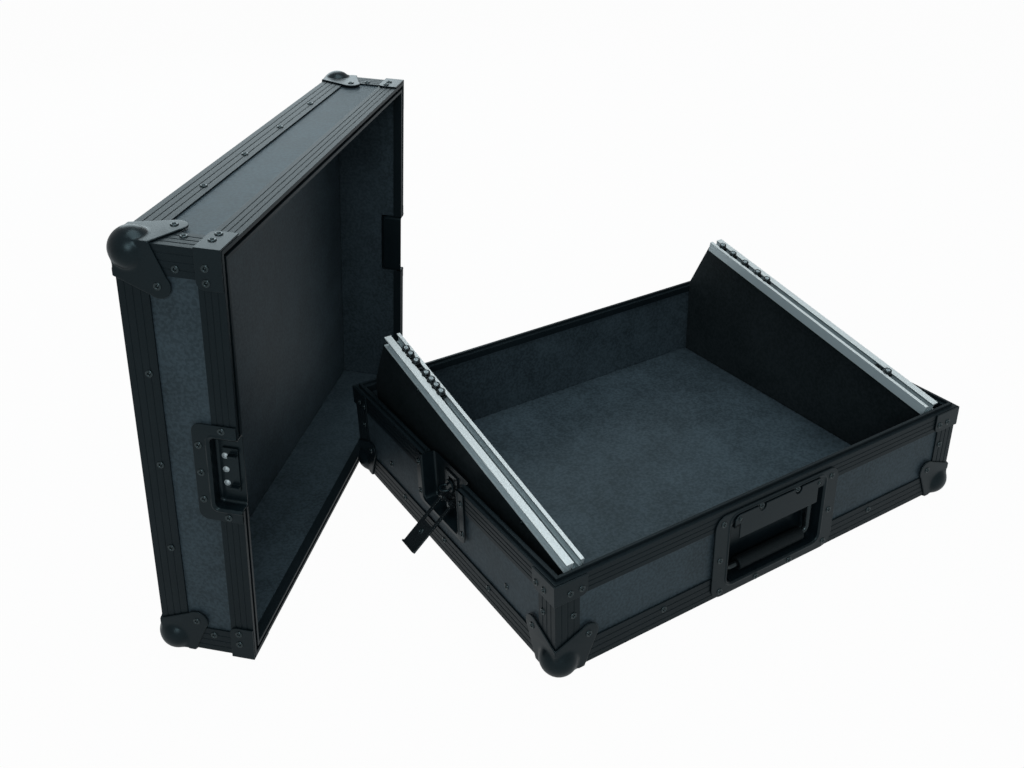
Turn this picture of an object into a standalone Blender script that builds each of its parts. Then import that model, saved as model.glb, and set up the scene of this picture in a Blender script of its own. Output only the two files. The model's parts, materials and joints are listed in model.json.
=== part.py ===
"""Mixer flight case: a shallow tray with two sloping rack rails, and its lid standing beside it.

Metres, +Z up. The origin lies on the floor under the middle of the tray, +X runs along the front
edge to the right and +Y runs from front to rear. Both halves of the case are drawn in half
coordinates: x and y as in the tray, and h, the distance from the rim line towards the outer panel.
Each stands in its place through a matrix, so the two halves share one set of functions.
"""

import math

import bmesh
import bpy
from mathutils import Matrix, Vector

# Overall sizes, over the edge profiles
CASE_WIDTH = 0.528
CASE_DEPTH = 0.416
TRAY_HEIGHT = 0.105
LID_HEIGHT = 0.090

# Walls and clearances
PANEL = 0.007
GAP = 0.0003
SHEET = 0.0015
SAME_POINT = 0.000001

# How finely round shapes are drawn
ROUND_SIDES = 20
PIN_SIDES = 16
ARC_STEPS = 5
SHARP_ANGLE = math.radians(30.0)

# Edge profile: an angle with shallow grooves along both legs
EDGE_LEG = 0.0265
GROOVE_WIDTH = 0.0012
GROOVE_DEPTH = 0.0004
GROOVES = 3

# Rim profiles: a tongue on the tray, a groove in the lid
RIM_LEG = 0.022
RIM_INNER_LEG = 0.008
LID_RIM_INNER_LEG = 0.004
TONGUE_INSET = 0.004
TONGUE_WIDTH = 0.003
TONGUE_HEIGHT = 0.0035
TONGUE_PLAY = 0.0003
GROOVE_FLOOR = 0.0045

# Corner braces on the rims
BRACE_ARM = 0.034
BRACE_HEIGHT = 0.0225

# Ball corners
BALL_RADIUS = 0.0188
BALL_INSET = 0.0107
BALL_PLATE_ARM = 0.031
BALL_LOBE_PLACE = 0.0353
BALL_LOBE_RADIUS = 0.011
CORNER_CUT = 0.0035
BALL_TIP_CUT = 0.0015
FOOT_FLAT = 0.0004
BALL_SIDES = 20
BALL_RINGS = 10
LOBE_START_DEG = -30
LOBE_END_DEG = 120

# Latches
LATCH_HALF_WIDTH = 0.0495
LATCH_OPENING = 0.036
LATCH_CORNER = 0.006
TRAY_LATCH_HEIGHT = 0.062
TRAY_LATCH_CAVITY = 0.0542
TRAY_LATCH_DEPTH = 0.014
LID_LATCH_HEIGHT = 0.040
LID_LATCH_CAVITY = 0.0245
LID_LATCH_DEPTH = 0.010
SLIDE_HALF_WIDTH = 0.0125
SLIDE_TOP = 0.008
SLIDE_BOTTOM = 0.0395
SLIDE_TRAVEL = 0.0055
EAR_THICKNESS = 0.003
EAR_HALF_HEIGHT = 0.0032
PIN_DEPTH = 0.0065
PIN_DROP = 0.039
PIN_RADIUS = 0.0018
KEY_DROP = 0.023
KEY_DISC_RADIUS = 0.0075
KEY_DISC_THICKNESS = 0.0024
KEY_POST_RADIUS = 0.0045
KEY_RING_RADIUS = 0.007
KEY_RING_HOLE = 0.0042
KEY_RING_THICKNESS = 0.002
KEY_RING_DEPTH = 0.0055
HOOK_HANG_DEG = 40.0
HOOK_LENGTH = 0.062
HOOK_HALF_WIDTH = 0.012
HOOK_BAR_WIDTH = 0.0035
HOOK_THICKNESS = 0.002
HOOK_PLATE_START = 0.0305
HOOK_LIP = 0.002
HOOK_BARREL_RADIUS = 0.0035
KEEPER_HALF_WIDTH = 0.022
KEEPER_START = 0.0045
KEEPER_END = 0.0185
KEEPER_THICKNESS = 0.0018
KEEPER_CHEEK_PLACE = 0.0155
KEEPER_CHEEK_HEIGHT = 0.005
KEEPER_CHEEK_LENGTH = 0.008

# Handle, on the front wall
HANDLE_HALF_WIDTH = 0.082
HANDLE_LOW = 0.0005
HANDLE_HIGH = 0.0995
HANDLE_CORNER = 0.014
HANDLE_OPENING_HALF = 0.062
HANDLE_OPENING_LOW = 0.0125
HANDLE_OPENING_HIGH = 0.088
HANDLE_DEPTH = 0.020
BAIL_RADIUS = 0.00325
BAIL_HALF_WIDTH = 0.057
BAIL_PIVOT_HEIGHT = 0.078
BAIL_BAR_HEIGHT = 0.0205
BAIL_AXIS_DEPTH = 0.010
BAIL_PIN_END = 0.044
BAIL_PIN_BEND = 0.004
BAIL_BAR_BEND = 0.008
BAIL_BEVEL_STEPS = 3
BEARING_INNER = 0.0435
BEARING_OUTER = 0.0515
BEARING_HALF = 0.006
GRIP_START = -0.040
GRIP_END = 0.0485
GRIP_RADIUS = 0.007
COVER_LOW = 0.066
COVER_SHOULDER = 0.0835
COVER_HIGH = 0.0945
COVER_HALF_WIDTH = 0.059
COVER_LOW_HALF_WIDTH = 0.052
COVER_CORNER = 0.005
COVER_NOTCH_PLACE = 0.024
COVER_NOTCH_RADIUS = 0.0045
COVER_NOTCH_DEPTH = 0.007
BORE_PLAY = 0.0003

# Rack rails and their boards
RAIL_SLOPE = math.radians(12.0)
RAIL_FRONT_INSET = 0.012
RAIL_FRONT_RISE = 0.0063
RAIL_START = -0.0013
RAIL_END = 0.3575
RAIL_INSET = 0.0388
RAIL_WIDTH = 0.019
RAIL_DEPTH = 0.0125
RAIL_WALL = 0.0017
RAIL_BASE = 0.0016
RAIL_LIP = 0.002
SLOT_PLACE = 0.0039
SLOT_WIDTH = 0.0072
RAIL_WEB_INSET = 0.0056
RAIL_TONGUE_PLACE = 0.0108
RAIL_TONGUE_WIDTH = 0.003
RAIL_TONGUE_HEIGHT = 0.009
BOARD_THICKNESS = 0.009
BOARD_INSET = 0.032
BOARD_TOP_LENGTH = 0.359
BOARD_REAR_RISE = 0.0061

# Where the lid stands: how far the near lower corner of its rim lies to the left and to the front
# of the tray's rear left corner, and the way its rim edge runs
LID_STEP_LEFT = 0.219
LID_STEP_FORWARD = 0.236
LID_TURN = math.radians(41.75)

# Sizes that follow from the ones above
SKIN = SHEET + GAP
PANEL_INNER = SKIN + PANEL
RIM_INSIDE = PANEL_INNER + GAP + SHEET
BALL_PROUD = BALL_RADIUS - BALL_INSET
TRAY_FLOOR_Z = BALL_PROUD - FOOT_FLAT
RIM_Z = TRAY_FLOOR_Z + TRAY_HEIGHT
POCKET_HALF = LATCH_OPENING + SHEET
NOTCH_HALF = POCKET_HALF + GAP
FAR = 0.2
RAIL_FRONT_Y = RAIL_FRONT_INSET - CASE_DEPTH / 2
RAIL_FRONT_Z = RIM_Z + RAIL_FRONT_RISE
RAIL_INNER = CASE_WIDTH / 2 - RAIL_INSET
BOARD_INNER = CASE_WIDTH / 2 - BOARD_INSET
BOARD_REAR_TOP_Y = RAIL_FRONT_Y + BOARD_TOP_LENGTH
BOARD_REAR_LOW_Z = RIM_Z + BOARD_REAR_RISE
LID_CORNER_X = -CASE_WIDTH / 2 - LID_STEP_LEFT
LID_CORNER_Y = CASE_DEPTH / 2 - LID_STEP_FORWARD

FRONT, REAR = -1, 1
LEFT, RIGHT = -1, 1
SIDE_NAMES = {LEFT: "left", RIGHT: "right"}
END_NAMES = {FRONT: "front", REAR: "rear"}

# Finishes: colour, roughness, metallic
LAMINATE = ((0.036, 0.044, 0.054), 0.55, 0.0)
BOARD_PAINT = ((0.012, 0.014, 0.017), 0.75, 0.0)
BLACK_PROFILE = ((0.020, 0.023, 0.025), 0.45, 0.6)
BLACK_STEEL = ((0.016, 0.018, 0.020), 0.38, 0.7)
BRIGHT_ALUMINIUM = ((0.78, 0.79, 0.80), 0.3, 1.0)
RUBBER = ((0.010, 0.010, 0.011), 0.8, 0.0)


def clear_scene():
    """Removes every object that the scene starts with."""
    for obj in list(bpy.data.objects):
        bpy.data.objects.remove(obj, do_unlink=True)


def link(obj):
    """Puts an object into the scene's collection."""
    bpy.context.scene.collection.objects.link(obj)
    return obj


def outward(mesh):
    """Joins the points of a closed mesh that coincide, and turns its faces outwards."""
    shape = bmesh.new()
    shape.from_mesh(mesh)
    bmesh.ops.remove_doubles(shape, verts=shape.verts, dist=SAME_POINT)
    bmesh.ops.recalc_face_normals(shape, faces=shape.faces)
    shape.to_mesh(mesh)
    shape.free()
    return mesh


def loft(rings, closed=False):
    """A closed mesh through rings of points, capped at both ends or joined into a loop."""
    count = len(rings[0])
    vertices = [tuple(point) for ring in rings for point in ring]
    faces = []
    spans = len(rings) if closed else len(rings) - 1
    for ring in range(spans):
        here = ring * count
        there = (ring + 1) % len(rings) * count
        for i in range(count):
            j = (i + 1) % count
            faces.append((here + i, here + j, there + j, there + i))
    if not closed:
        faces.append(tuple(range(count)))
        faces.append(tuple(range(len(vertices) - count, len(vertices))))
    mesh = bpy.data.meshes.new("loft")
    mesh.from_pydata(vertices, [], faces)
    return outward(mesh)


def box(low, high):
    """A block between two corners."""
    (x0, y0, z0), (x1, y1, z1) = low, high
    return loft([[(x, y0, z0), (x, y1, z0), (x, y1, z1), (x, y0, z1)] for x in (x0, x1)])


def hull(points):
    """The convex solid round some points."""
    shape = bmesh.new()
    for point in points:
        shape.verts.new(point)
    bmesh.ops.convex_hull(shape, input=shape.verts)
    mesh = bpy.data.meshes.new("hull")
    shape.to_mesh(mesh)
    shape.free()
    return outward(mesh)


def circle(radius, sides=ROUND_SIDES):
    """Points of a circle about the origin, as pairs."""
    steps = [math.tau * i / sides for i in range(sides)]
    return [(radius * math.cos(a), radius * math.sin(a)) for a in steps]


def arc(centre, radius, start, end, steps=ARC_STEPS):
    """Points of an arc, with both of its ends. Angles are in degrees."""
    angles = [math.radians(start + (end - start) * i / steps) for i in range(steps + 1)]
    return [(centre[0] + radius * math.cos(a), centre[1] + radius * math.sin(a)) for a in angles]


def combine(first, second, operation):
    """Two closed meshes joined or cut by an exact Boolean, as a new mesh."""
    target = link(bpy.data.objects.new("target", first))
    tool = link(bpy.data.objects.new("tool", second))
    modifier = target.modifiers.new("combine", "BOOLEAN")
    modifier.operation = operation
    modifier.solver = "EXACT"
    modifier.object = tool
    evaluated = target.evaluated_get(bpy.context.evaluated_depsgraph_get())
    result = bpy.data.meshes.new_from_object(evaluated)
    bpy.data.objects.remove(target)
    bpy.data.objects.remove(tool)
    return result


def union(first, *others):
    """The first closed mesh with the others joined on."""
    for other in others:
        first = combine(first, other, "UNION")
    return first


def cut(solid, cutter):
    """A closed mesh with another taken out of it."""
    return combine(solid, cutter, "DIFFERENCE")


def moved(mesh, matrix):
    """A copy of a mesh through a matrix, with its faces outward again if the matrix mirrors."""
    copy = mesh.copy()
    copy.transform(matrix)
    return outward(copy)


def add_piece(name, mesh, finish, parent=None, origin=None):
    """Adds one named piece with its own material. Its origin is a point on its axis, if it turns."""
    colour, roughness, metallic = finish
    material = bpy.data.materials.new(name)
    material.use_nodes = True
    shader = material.node_tree.nodes["Principled BSDF"]
    shader.inputs["Base Color"].default_value = (*colour, 1.0)
    shader.inputs["Roughness"].default_value = roughness
    shader.inputs["Metallic"].default_value = metallic
    if origin is not None:
        mesh.transform(Matrix.Translation(-Vector(origin)))
    mesh.name = name
    mesh.materials.clear()
    mesh.materials.append(material)
    mesh.shade_smooth()
    mesh.set_sharp_from_angle(angle=SHARP_ANGLE)
    obj = link(bpy.data.objects.new(name, mesh))
    if origin is not None:
        obj.location = origin
    obj.parent = parent
    return obj


class Half:
    """One half of the case, with the matrix that takes half coordinates to its parent or the world."""

    def __init__(self, name, height, outer, matrix, parent=None):
        self.name = name
        self.height = height
        self.outer = outer
        self.frame_name = "bottom_frame" if outer == "floor" else "top_frame"
        self.matrix = matrix
        self.parent = parent
        self.has_handle = parent is None
        self.has_feet = parent is None

    def add(self, name, mesh, finish):
        """Adds a piece that is drawn in half coordinates."""
        return add_piece(f"{self.name}_{name}", moved(mesh, self.matrix), finish, self.parent)


def corner_matrix(side, end, height):
    """From inward distances off a corner's three faces to half coordinates."""
    return Matrix(
        (
            (-side, 0.0, 0.0, side * CASE_WIDTH / 2),
            (0.0, -end, 0.0, end * CASE_DEPTH / 2),
            (0.0, 0.0, -1.0, height),
            (0.0, 0.0, 0.0, 1.0),
        )
    )


def side_matrix(side):
    """From (distance out of a side face, y, h) to half coordinates."""
    return Matrix(
        (
            (side, 0.0, 0.0, side * CASE_WIDTH / 2),
            (0.0, 1.0, 0.0, 0.0),
            (0.0, 0.0, 1.0, 0.0),
            (0.0, 0.0, 0.0, 1.0),
        )
    )


def corner_tip(reach):
    """The tip of a corner, out of reach along each edge and beyond its faces, to cut it off with."""
    near = -BALL_RADIUS
    far = reach - 2 * near
    return hull([(near, near, near), (far, near, near), (near, far, near), (near, near, far)])


def grooved_leg(length):
    """Points along an outer leg, with its grooves, as (along, depth)."""
    pitch = length / (GROOVES + 1)
    points = [(0.0, 0.0)]
    for groove in range(1, GROOVES + 1):
        near = pitch * groove - GROOVE_WIDTH / 2
        far = near + GROOVE_WIDTH
        points += [(near, 0.0), (near, GROOVE_DEPTH), (far, GROOVE_DEPTH), (far, 0.0)]
    points.append((length, 0.0))
    return points


def edge_section():
    """The angle's outline as inward distances off its two outer faces."""
    leg = grooved_leg(EDGE_LEG)
    back = [(depth, along) for along, depth in reversed(leg[1:])]
    return leg + [(EDGE_LEG, SHEET), (SHEET, SHEET), (SHEET, EDGE_LEG)] + back


def edge_frame(half):
    """Four mitred lengths of edge profile round the outer panel, their tips cut for the ball corners."""
    rings = []
    for side, end in ((LEFT, FRONT), (RIGHT, FRONT), (RIGHT, REAR), (LEFT, REAR)):
        ring = []
        for inward, towards_rim in edge_section():
            x = side * (CASE_WIDTH / 2 - inward)
            y = end * (CASE_DEPTH / 2 - inward)
            ring.append((x, y, half.height - towards_rim))
        rings.append(ring)
    mesh = loft(rings, closed=True)
    for side in (LEFT, RIGHT):
        for end in (FRONT, REAR):
            tip = corner_tip(CORNER_CUT + 2 * GAP)
            mesh = cut(mesh, moved(tip, corner_matrix(side, end, half.height)))
    return mesh


def corner_post(half, side, end):
    """An upright length of edge profile between the edge frame and the rim."""
    rings = []
    for h in (RIM_LEG + GAP, half.height - EDGE_LEG - GAP):
        ring = []
        for across, back in edge_section():
            x = side * (CASE_WIDTH / 2 - across)
            y = end * (CASE_DEPTH / 2 - back)
            ring.append((x, y, h))
        rings.append(ring)
    return loft(rings)


def rim_leg():
    """The rim profile's outer leg, from its low edge to the rim line, as (inward, h)."""
    return [(depth, along) for along, depth in reversed(grooved_leg(RIM_LEG))]


def tongue_section():
    """The tray's rim profile, as (inward, h)."""
    tongue_end = TONGUE_INSET + TONGUE_WIDTH
    return rim_leg() + [
        (TONGUE_INSET, 0.0),
        (TONGUE_INSET, -TONGUE_HEIGHT),
        (tongue_end, -TONGUE_HEIGHT),
        (tongue_end, 0.0),
        (RIM_INSIDE, 0.0),
        (RIM_INSIDE, RIM_INNER_LEG),
        (RIM_INSIDE - SHEET, RIM_INNER_LEG),
        (RIM_INSIDE - SHEET, SHEET),
        (SHEET, SHEET),
        (SHEET, RIM_LEG),
    ]


def groove_section():
    """The lid's rim profile, as (inward, h)."""
    near = TONGUE_INSET - TONGUE_PLAY
    far = TONGUE_INSET + TONGUE_WIDTH + TONGUE_PLAY
    web = GROOVE_FLOOR + SHEET
    inner_end = web + LID_RIM_INNER_LEG
    return rim_leg() + [
        (near, 0.0),
        (near, GROOVE_FLOOR),
        (far, GROOVE_FLOOR),
        (far, 0.0),
        (RIM_INSIDE, 0.0),
        (RIM_INSIDE, inner_end),
        (RIM_INSIDE - SHEET, inner_end),
        (RIM_INSIDE - SHEET, web),
        (SHEET, web),
        (SHEET, RIM_LEG),
    ]


def rim_run(section, end):
    """The U-shaped run of rim profile round one end, from one latch notch to the other."""
    rings = []
    for side, at_corner in ((LEFT, False), (LEFT, True), (RIGHT, True), (RIGHT, False)):
        ring = []
        for inward, h in section:
            y = CASE_DEPTH / 2 - inward if at_corner else NOTCH_HALF
            ring.append((side * (CASE_WIDTH / 2 - inward), end * y, h))
        rings.append(ring)
    return loft(rings)


def rim_brace(side, end):
    """A plate folded round a corner of the rim, outside the rim profile."""
    outline = [
        (-SKIN, -SKIN),
        (BRACE_ARM, -SKIN),
        (BRACE_ARM, -GAP),
        (-GAP, -GAP),
        (-GAP, BRACE_ARM),
        (-SKIN, BRACE_ARM),
    ]
    rings = []
    for h in (GAP, BRACE_HEIGHT):
        ring = []
        for across, back in outline:
            ring.append((side * (CASE_WIDTH / 2 - across), end * (CASE_DEPTH / 2 - back), h))
        rings.append(ring)
    return loft(rings)


def lobe_outline():
    """A ball corner's plate: two arms along the edges, and a round lobe over the panel."""
    place = BALL_LOBE_PLACE
    lobe = arc((place, place), BALL_LOBE_RADIUS, LOBE_START_DEG, LOBE_END_DEG)
    return [(-SKIN, -SKIN), (BALL_PLATE_ARM, -SKIN), *lobe, (-SKIN, BALL_PLATE_ARM)]


def ball_corner():
    """A pressed ball corner, in inward distances off the corner's three faces."""
    shape = bmesh.new()
    bmesh.ops.create_uvsphere(shape, u_segments=BALL_SIDES, v_segments=BALL_RINGS, radius=BALL_RADIUS)
    bmesh.ops.translate(shape, verts=shape.verts, vec=(BALL_INSET,) * 3)
    ball = bpy.data.meshes.new("ball")
    shape.to_mesh(ball)
    shape.free()
    outline = lobe_outline()
    first = loft([[(t, a, b) for a, b in outline] for t in (-SKIN, -GAP)])
    second = loft([[(a, t, b) for a, b in outline] for t in (-SKIN, -GAP)])
    third = loft([[(a, b, t) for a, b in outline] for t in (-SKIN, -GAP)])
    plates = cut(union(first, second, third), corner_tip(BALL_TIP_CUT))
    core = box((-GAP,) * 3, (BALL_INSET,) * 3)
    reach = CORNER_CUT
    inside = hull(
        [
            (reach, -GAP, -GAP),
            (-GAP, reach, -GAP),
            (-GAP, -GAP, reach),
            (FAR, -GAP, -GAP),
            (-GAP, FAR, -GAP),
            (-GAP, -GAP, FAR),
            (FAR, FAR, -GAP),
            (FAR, -GAP, FAR),
            (-GAP, FAR, FAR),
            (FAR, FAR, FAR),
        ]
    )
    return cut(union(ball, plates, core), inside)


def wall_panels(half, panel_top):
    """The outer panel and the four walls, as boxes in half coordinates by name."""
    x = CASE_WIDTH / 2 - SKIN
    y = CASE_DEPTH / 2 - SKIN
    outer = half.height - SKIN
    wall_end = outer - PANEL - GAP
    side_y = y - PANEL - GAP
    walls = {f"{half.outer}_panel": box((-x, -y, outer - PANEL), (x, y, outer))}
    for end, name in END_NAMES.items():
        edges = sorted((end * y, end * (y - PANEL)))
        walls[f"{name}_panel"] = box((-x, edges[0], panel_top), (x, edges[1], wall_end))
    for side, name in SIDE_NAMES.items():
        edges = sorted((side * x, side * (x - PANEL)))
        walls[f"{name}_panel"] = box((edges[0], -side_y, panel_top), (edges[1], side_y, wall_end))
    return walls


def build_shell(half, panel_top, section, latch_cavity):
    """The panels, profiles, braces and ball corners of one half."""
    walls = wall_panels(half, panel_top)
    notch_h = latch_cavity + SHEET + GAP
    notch = box((-FAR - CASE_WIDTH, -NOTCH_HALF, -FAR), (FAR + CASE_WIDTH, NOTCH_HALF, notch_h))
    for side_name in SIDE_NAMES.values():
        walls[f"{side_name}_panel"] = cut(walls[f"{side_name}_panel"], notch)
    if half.has_handle:
        walls["front_panel"] = cut(walls["front_panel"], handle_clearance())
    for name, mesh in walls.items():
        half.add(name, mesh, LAMINATE)
    frame = edge_frame(half)
    if half.has_handle:
        frame = cut(frame, handle_clearance())
    half.add(half.frame_name, frame, BLACK_PROFILE)
    corner = ball_corner()
    for end, end_name in END_NAMES.items():
        rim = rim_run(section, end)
        if half.has_handle and end == FRONT:
            rim = cut(rim, handle_clearance())
        half.add(f"rim_{end_name}", rim, BLACK_PROFILE)
        for side, side_name in SIDE_NAMES.items():
            place = f"{end_name}_{side_name}"
            half.add(f"corner_post_{place}", corner_post(half, side, end), BLACK_PROFILE)
            half.add(f"rim_brace_{place}", rim_brace(side, end), BLACK_STEEL)
            ball = moved(corner, corner_matrix(side, end, half.height))
            if half.has_feet:
                ball = cut(ball, box((-CASE_WIDTH, -CASE_DEPTH, RIM_Z), (CASE_WIDTH, CASE_DEPTH, RIM_Z + FAR)))
            half.add(f"ball_corner_{place}", ball, BLACK_STEEL)


def latch_dish(height, cavity, depth):
    """A recessed latch dish with its flange, open at the rim, as (out, y, h)."""
    corner_y = LATCH_HALF_WIDTH - LATCH_CORNER
    corner_h = height - LATCH_CORNER
    outline = [(-LATCH_HALF_WIDTH, GAP), (LATCH_HALF_WIDTH, GAP)]
    outline += arc((corner_y, corner_h), LATCH_CORNER, 0, 90)
    outline += arc((-corner_y, corner_h), LATCH_CORNER, 90, 180)
    flange = loft([[(out, y, h) for y, h in outline] for out in (GAP, SKIN)])
    pocket = box((-depth - SHEET, -POCKET_HALF, GAP), (SKIN / 2, POCKET_HALF, cavity + SHEET))
    room = box((-depth, -LATCH_OPENING, -FAR), (FAR, LATCH_OPENING, cavity))
    return cut(union(flange, pocket), room)


def rod_along_y(radius, start, end, out, h):
    """A thin round bar along y about a centre in (out, h)."""
    outline = circle(radius, PIN_SIDES)
    return loft([[(out + a, y, h + b) for a, b in outline] for y in (start, end)])


def rod_along_x(radius, start, end, y, h):
    """A round bar along x about a centre in (y, h)."""
    return loft([[(x, y + a, h + b) for a, b in circle(radius)] for x in (start, end)])


def slide_floor():
    """How far out of the side face the slide's back lies."""
    return -TRAY_LATCH_DEPTH + GAP


def latch_slide():
    """The plate that the key draws down, with two ears and the hook's pin, as (out, y, h)."""
    back = slide_floor()
    plate = box((back, -SLIDE_HALF_WIDTH, SLIDE_TOP), (back + SHEET, SLIDE_HALF_WIDTH, SLIDE_BOTTOM))
    slot_half = KEY_POST_RADIUS + BORE_PLAY
    slot_top = KEY_DROP - slot_half - SLIDE_TRAVEL
    slot = box((-FAR, -slot_half, slot_top), (FAR, slot_half, KEY_DROP + slot_half))
    plate = cut(plate, slot)
    ear_outer = HOOK_HALF_WIDTH - HOOK_BAR_WIDTH - GAP
    for side in (LEFT, RIGHT):
        faces = sorted((side * ear_outer, side * (ear_outer - EAR_THICKNESS)))
        low = (back + SHEET / 2, faces[0], PIN_DROP - EAR_HALF_HEIGHT)
        high = (-PIN_DEPTH + EAR_HALF_HEIGHT, faces[1], PIN_DROP + EAR_HALF_HEIGHT)
        plate = union(plate, box(low, high))
    return union(plate, rod_along_y(PIN_RADIUS, -HOOK_HALF_WIDTH, HOOK_HALF_WIDTH, -PIN_DEPTH, PIN_DROP))


def latch_key():
    """The turning key: a post through the slide, a disc over it and a ring to turn it by."""
    back = slide_floor()
    disc_back = back + SHEET + GAP
    post = rod_along_x(KEY_POST_RADIUS, back, disc_back + KEY_DISC_THICKNESS / 2, 0.0, KEY_DROP)
    disc = rod_along_x(KEY_DISC_RADIUS, disc_back, disc_back + KEY_DISC_THICKNESS, 0.0, KEY_DROP)
    half = KEY_RING_THICKNESS / 2
    rings = []
    inner = KEY_RING_HOLE / KEY_RING_RADIUS
    for out, y in circle(KEY_RING_RADIUS):
        ring = [(out, y, half), (out, y, -half), (out * inner, y * inner, -half)]
        ring.append((out * inner, y * inner, half))
        rings.append([(a - KEY_RING_DEPTH, b, c + KEY_DROP) for a, b, c in ring])
    return union(disc, post, loft(rings, closed=True))


def latch_hook():
    """The hook arm, hanging out over the dish's lower lip, as (out, y, h)."""
    half = HOOK_THICKNESS / 2
    inner = HOOK_HALF_WIDTH - HOOK_BAR_WIDTH
    arm = box((HOOK_PLATE_START, -HOOK_HALF_WIDTH, -half), (HOOK_LENGTH, HOOK_HALF_WIDTH, half))
    lip_low = (HOOK_LENGTH - HOOK_THICKNESS, -HOOK_HALF_WIDTH, 0.0)
    arm = union(arm, box(lip_low, (HOOK_LENGTH, HOOK_HALF_WIDTH, half + HOOK_LIP)))
    for side in (LEFT, RIGHT):
        low, high = sorted((side * inner, side * HOOK_HALF_WIDTH))
        bar = box((0.0, low, -half), (HOOK_PLATE_START + half, high, half))
        arm = union(arm, bar, rod_along_y(HOOK_BARREL_RADIUS, low, high, 0.0, 0.0))
    arm = cut(arm, rod_along_y(PIN_RADIUS + BORE_PLAY, -FAR, FAR, 0.0, 0.0))
    hang = math.radians(HOOK_HANG_DEG)
    along = Vector((math.cos(hang), 0.0, math.sin(hang)))
    across = Vector((math.sin(hang), 0.0, -math.cos(hang)))
    turn = Matrix.Identity(4)
    for row in range(3):
        turn[row][0] = along[row]
        turn[row][2] = across[row]
    return moved(arm, Matrix.Translation((-PIN_DEPTH, 0.0, PIN_DROP)) @ turn)


def latch_keeper():
    """The plate in the lid's dish that the hook's lip catches behind, with two guide cheeks."""
    back = -LID_LATCH_DEPTH + GAP
    front = back + KEEPER_THICKNESS
    plate = box((back, -KEEPER_HALF_WIDTH, KEEPER_START), (front, KEEPER_HALF_WIDTH, KEEPER_END))
    for side in (LEFT, RIGHT):
        low, high = sorted((side * KEEPER_CHEEK_PLACE, side * (KEEPER_CHEEK_PLACE + SHEET)))
        cheek_end = KEEPER_START + KEEPER_CHEEK_LENGTH
        cheek = box((back + SHEET / 2, low, KEEPER_START), (front + KEEPER_CHEEK_HEIGHT, high, cheek_end))
        plate = union(plate, cheek)
    return plate


def build_latches(tray, lid):
    """A butterfly latch in each side wall and its keeper in the lid."""
    for side, name in SIDE_NAMES.items():
        place = tray.matrix @ side_matrix(side)
        dish = latch_dish(TRAY_LATCH_HEIGHT, TRAY_LATCH_CAVITY, TRAY_LATCH_DEPTH)
        add_piece(f"latch_dish_{name}", moved(dish, place), BLACK_STEEL)
        key_axis = place @ Vector((-TRAY_LATCH_DEPTH, 0.0, KEY_DROP))
        pin_axis = place @ Vector((-PIN_DEPTH, 0.0, PIN_DROP))
        add_piece(f"latch_slide_{name}", moved(latch_slide(), place), BLACK_STEEL, origin=pin_axis)
        add_piece(f"latch_key_{name}", moved(latch_key(), place), BLACK_STEEL, origin=key_axis)
        add_piece(f"latch_hook_{name}", moved(latch_hook(), place), BLACK_STEEL, origin=pin_axis)
        lid_place = lid.matrix @ side_matrix(side)
        dish = latch_dish(LID_LATCH_HEIGHT, LID_LATCH_CAVITY, LID_LATCH_DEPTH)
        add_piece(f"lid_latch_dish_{name}", moved(dish, lid_place), BLACK_STEEL, lid.parent)
        add_piece(f"latch_keeper_{name}", moved(latch_keeper(), lid_place), BLACK_STEEL, lid.parent)


def handle_matrix():
    """From (x, distance out of the front face, height over the tray's underside) to the world."""
    return Matrix(
        (
            (1.0, 0.0, 0.0, 0.0),
            (0.0, -1.0, 0.0, -CASE_DEPTH / 2),
            (0.0, 0.0, 1.0, TRAY_FLOOR_Z),
            (0.0, 0.0, 0.0, 1.0),
        )
    )


def handle_clearance():
    """The cut through the front panel for the handle's dish, in half coordinates."""
    x = HANDLE_OPENING_HALF + SKIN
    low = TRAY_HEIGHT - HANDLE_OPENING_HIGH - SKIN
    high = TRAY_HEIGHT - HANDLE_OPENING_LOW + SKIN
    return box((-x, -CASE_DEPTH, low), (x, 0.0, high))


def handle_dish():
    """The recessed dish with its flange and the two bearings of the bail."""
    x = HANDLE_HALF_WIDTH - HANDLE_CORNER
    outline = arc((x, HANDLE_HIGH - HANDLE_CORNER), HANDLE_CORNER, 0, 90)
    outline += arc((-x, HANDLE_HIGH - HANDLE_CORNER), HANDLE_CORNER, 90, 180)
    outline += arc((-x, HANDLE_LOW + HANDLE_CORNER), HANDLE_CORNER, 180, 270)
    outline += arc((x, HANDLE_LOW + HANDLE_CORNER), HANDLE_CORNER, 270, 360)
    flange = loft([[(a, out, b) for a, b in outline] for out in (GAP, SKIN)])
    half = HANDLE_OPENING_HALF
    pocket_low = (-half - SHEET, -HANDLE_DEPTH - SHEET, HANDLE_OPENING_LOW - SHEET)
    pocket = box(pocket_low, (half + SHEET, SKIN / 2, HANDLE_OPENING_HIGH + SHEET))
    room = box((-half, -HANDLE_DEPTH, HANDLE_OPENING_LOW), (half, FAR, HANDLE_OPENING_HIGH))
    dish = cut(union(flange, pocket), room)
    for side in (LEFT, RIGHT):
        low, high = sorted((side * BEARING_INNER, side * BEARING_OUTER))
        bearing_low = (low, -HANDLE_DEPTH - SHEET / 2, BAIL_PIVOT_HEIGHT - BEARING_HALF)
        bearing_high = (high, -BAIL_AXIS_DEPTH + BEARING_HALF, BAIL_PIVOT_HEIGHT + BEARING_HALF)
        dish = union(dish, box(bearing_low, bearing_high))
    bore = rod_along_x(
        BAIL_RADIUS + BORE_PLAY, -BAIL_HALF_WIDTH, BAIL_HALF_WIDTH, -BAIL_AXIS_DEPTH, BAIL_PIVOT_HEIGHT
    )
    return cut(dish, bore)


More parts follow.
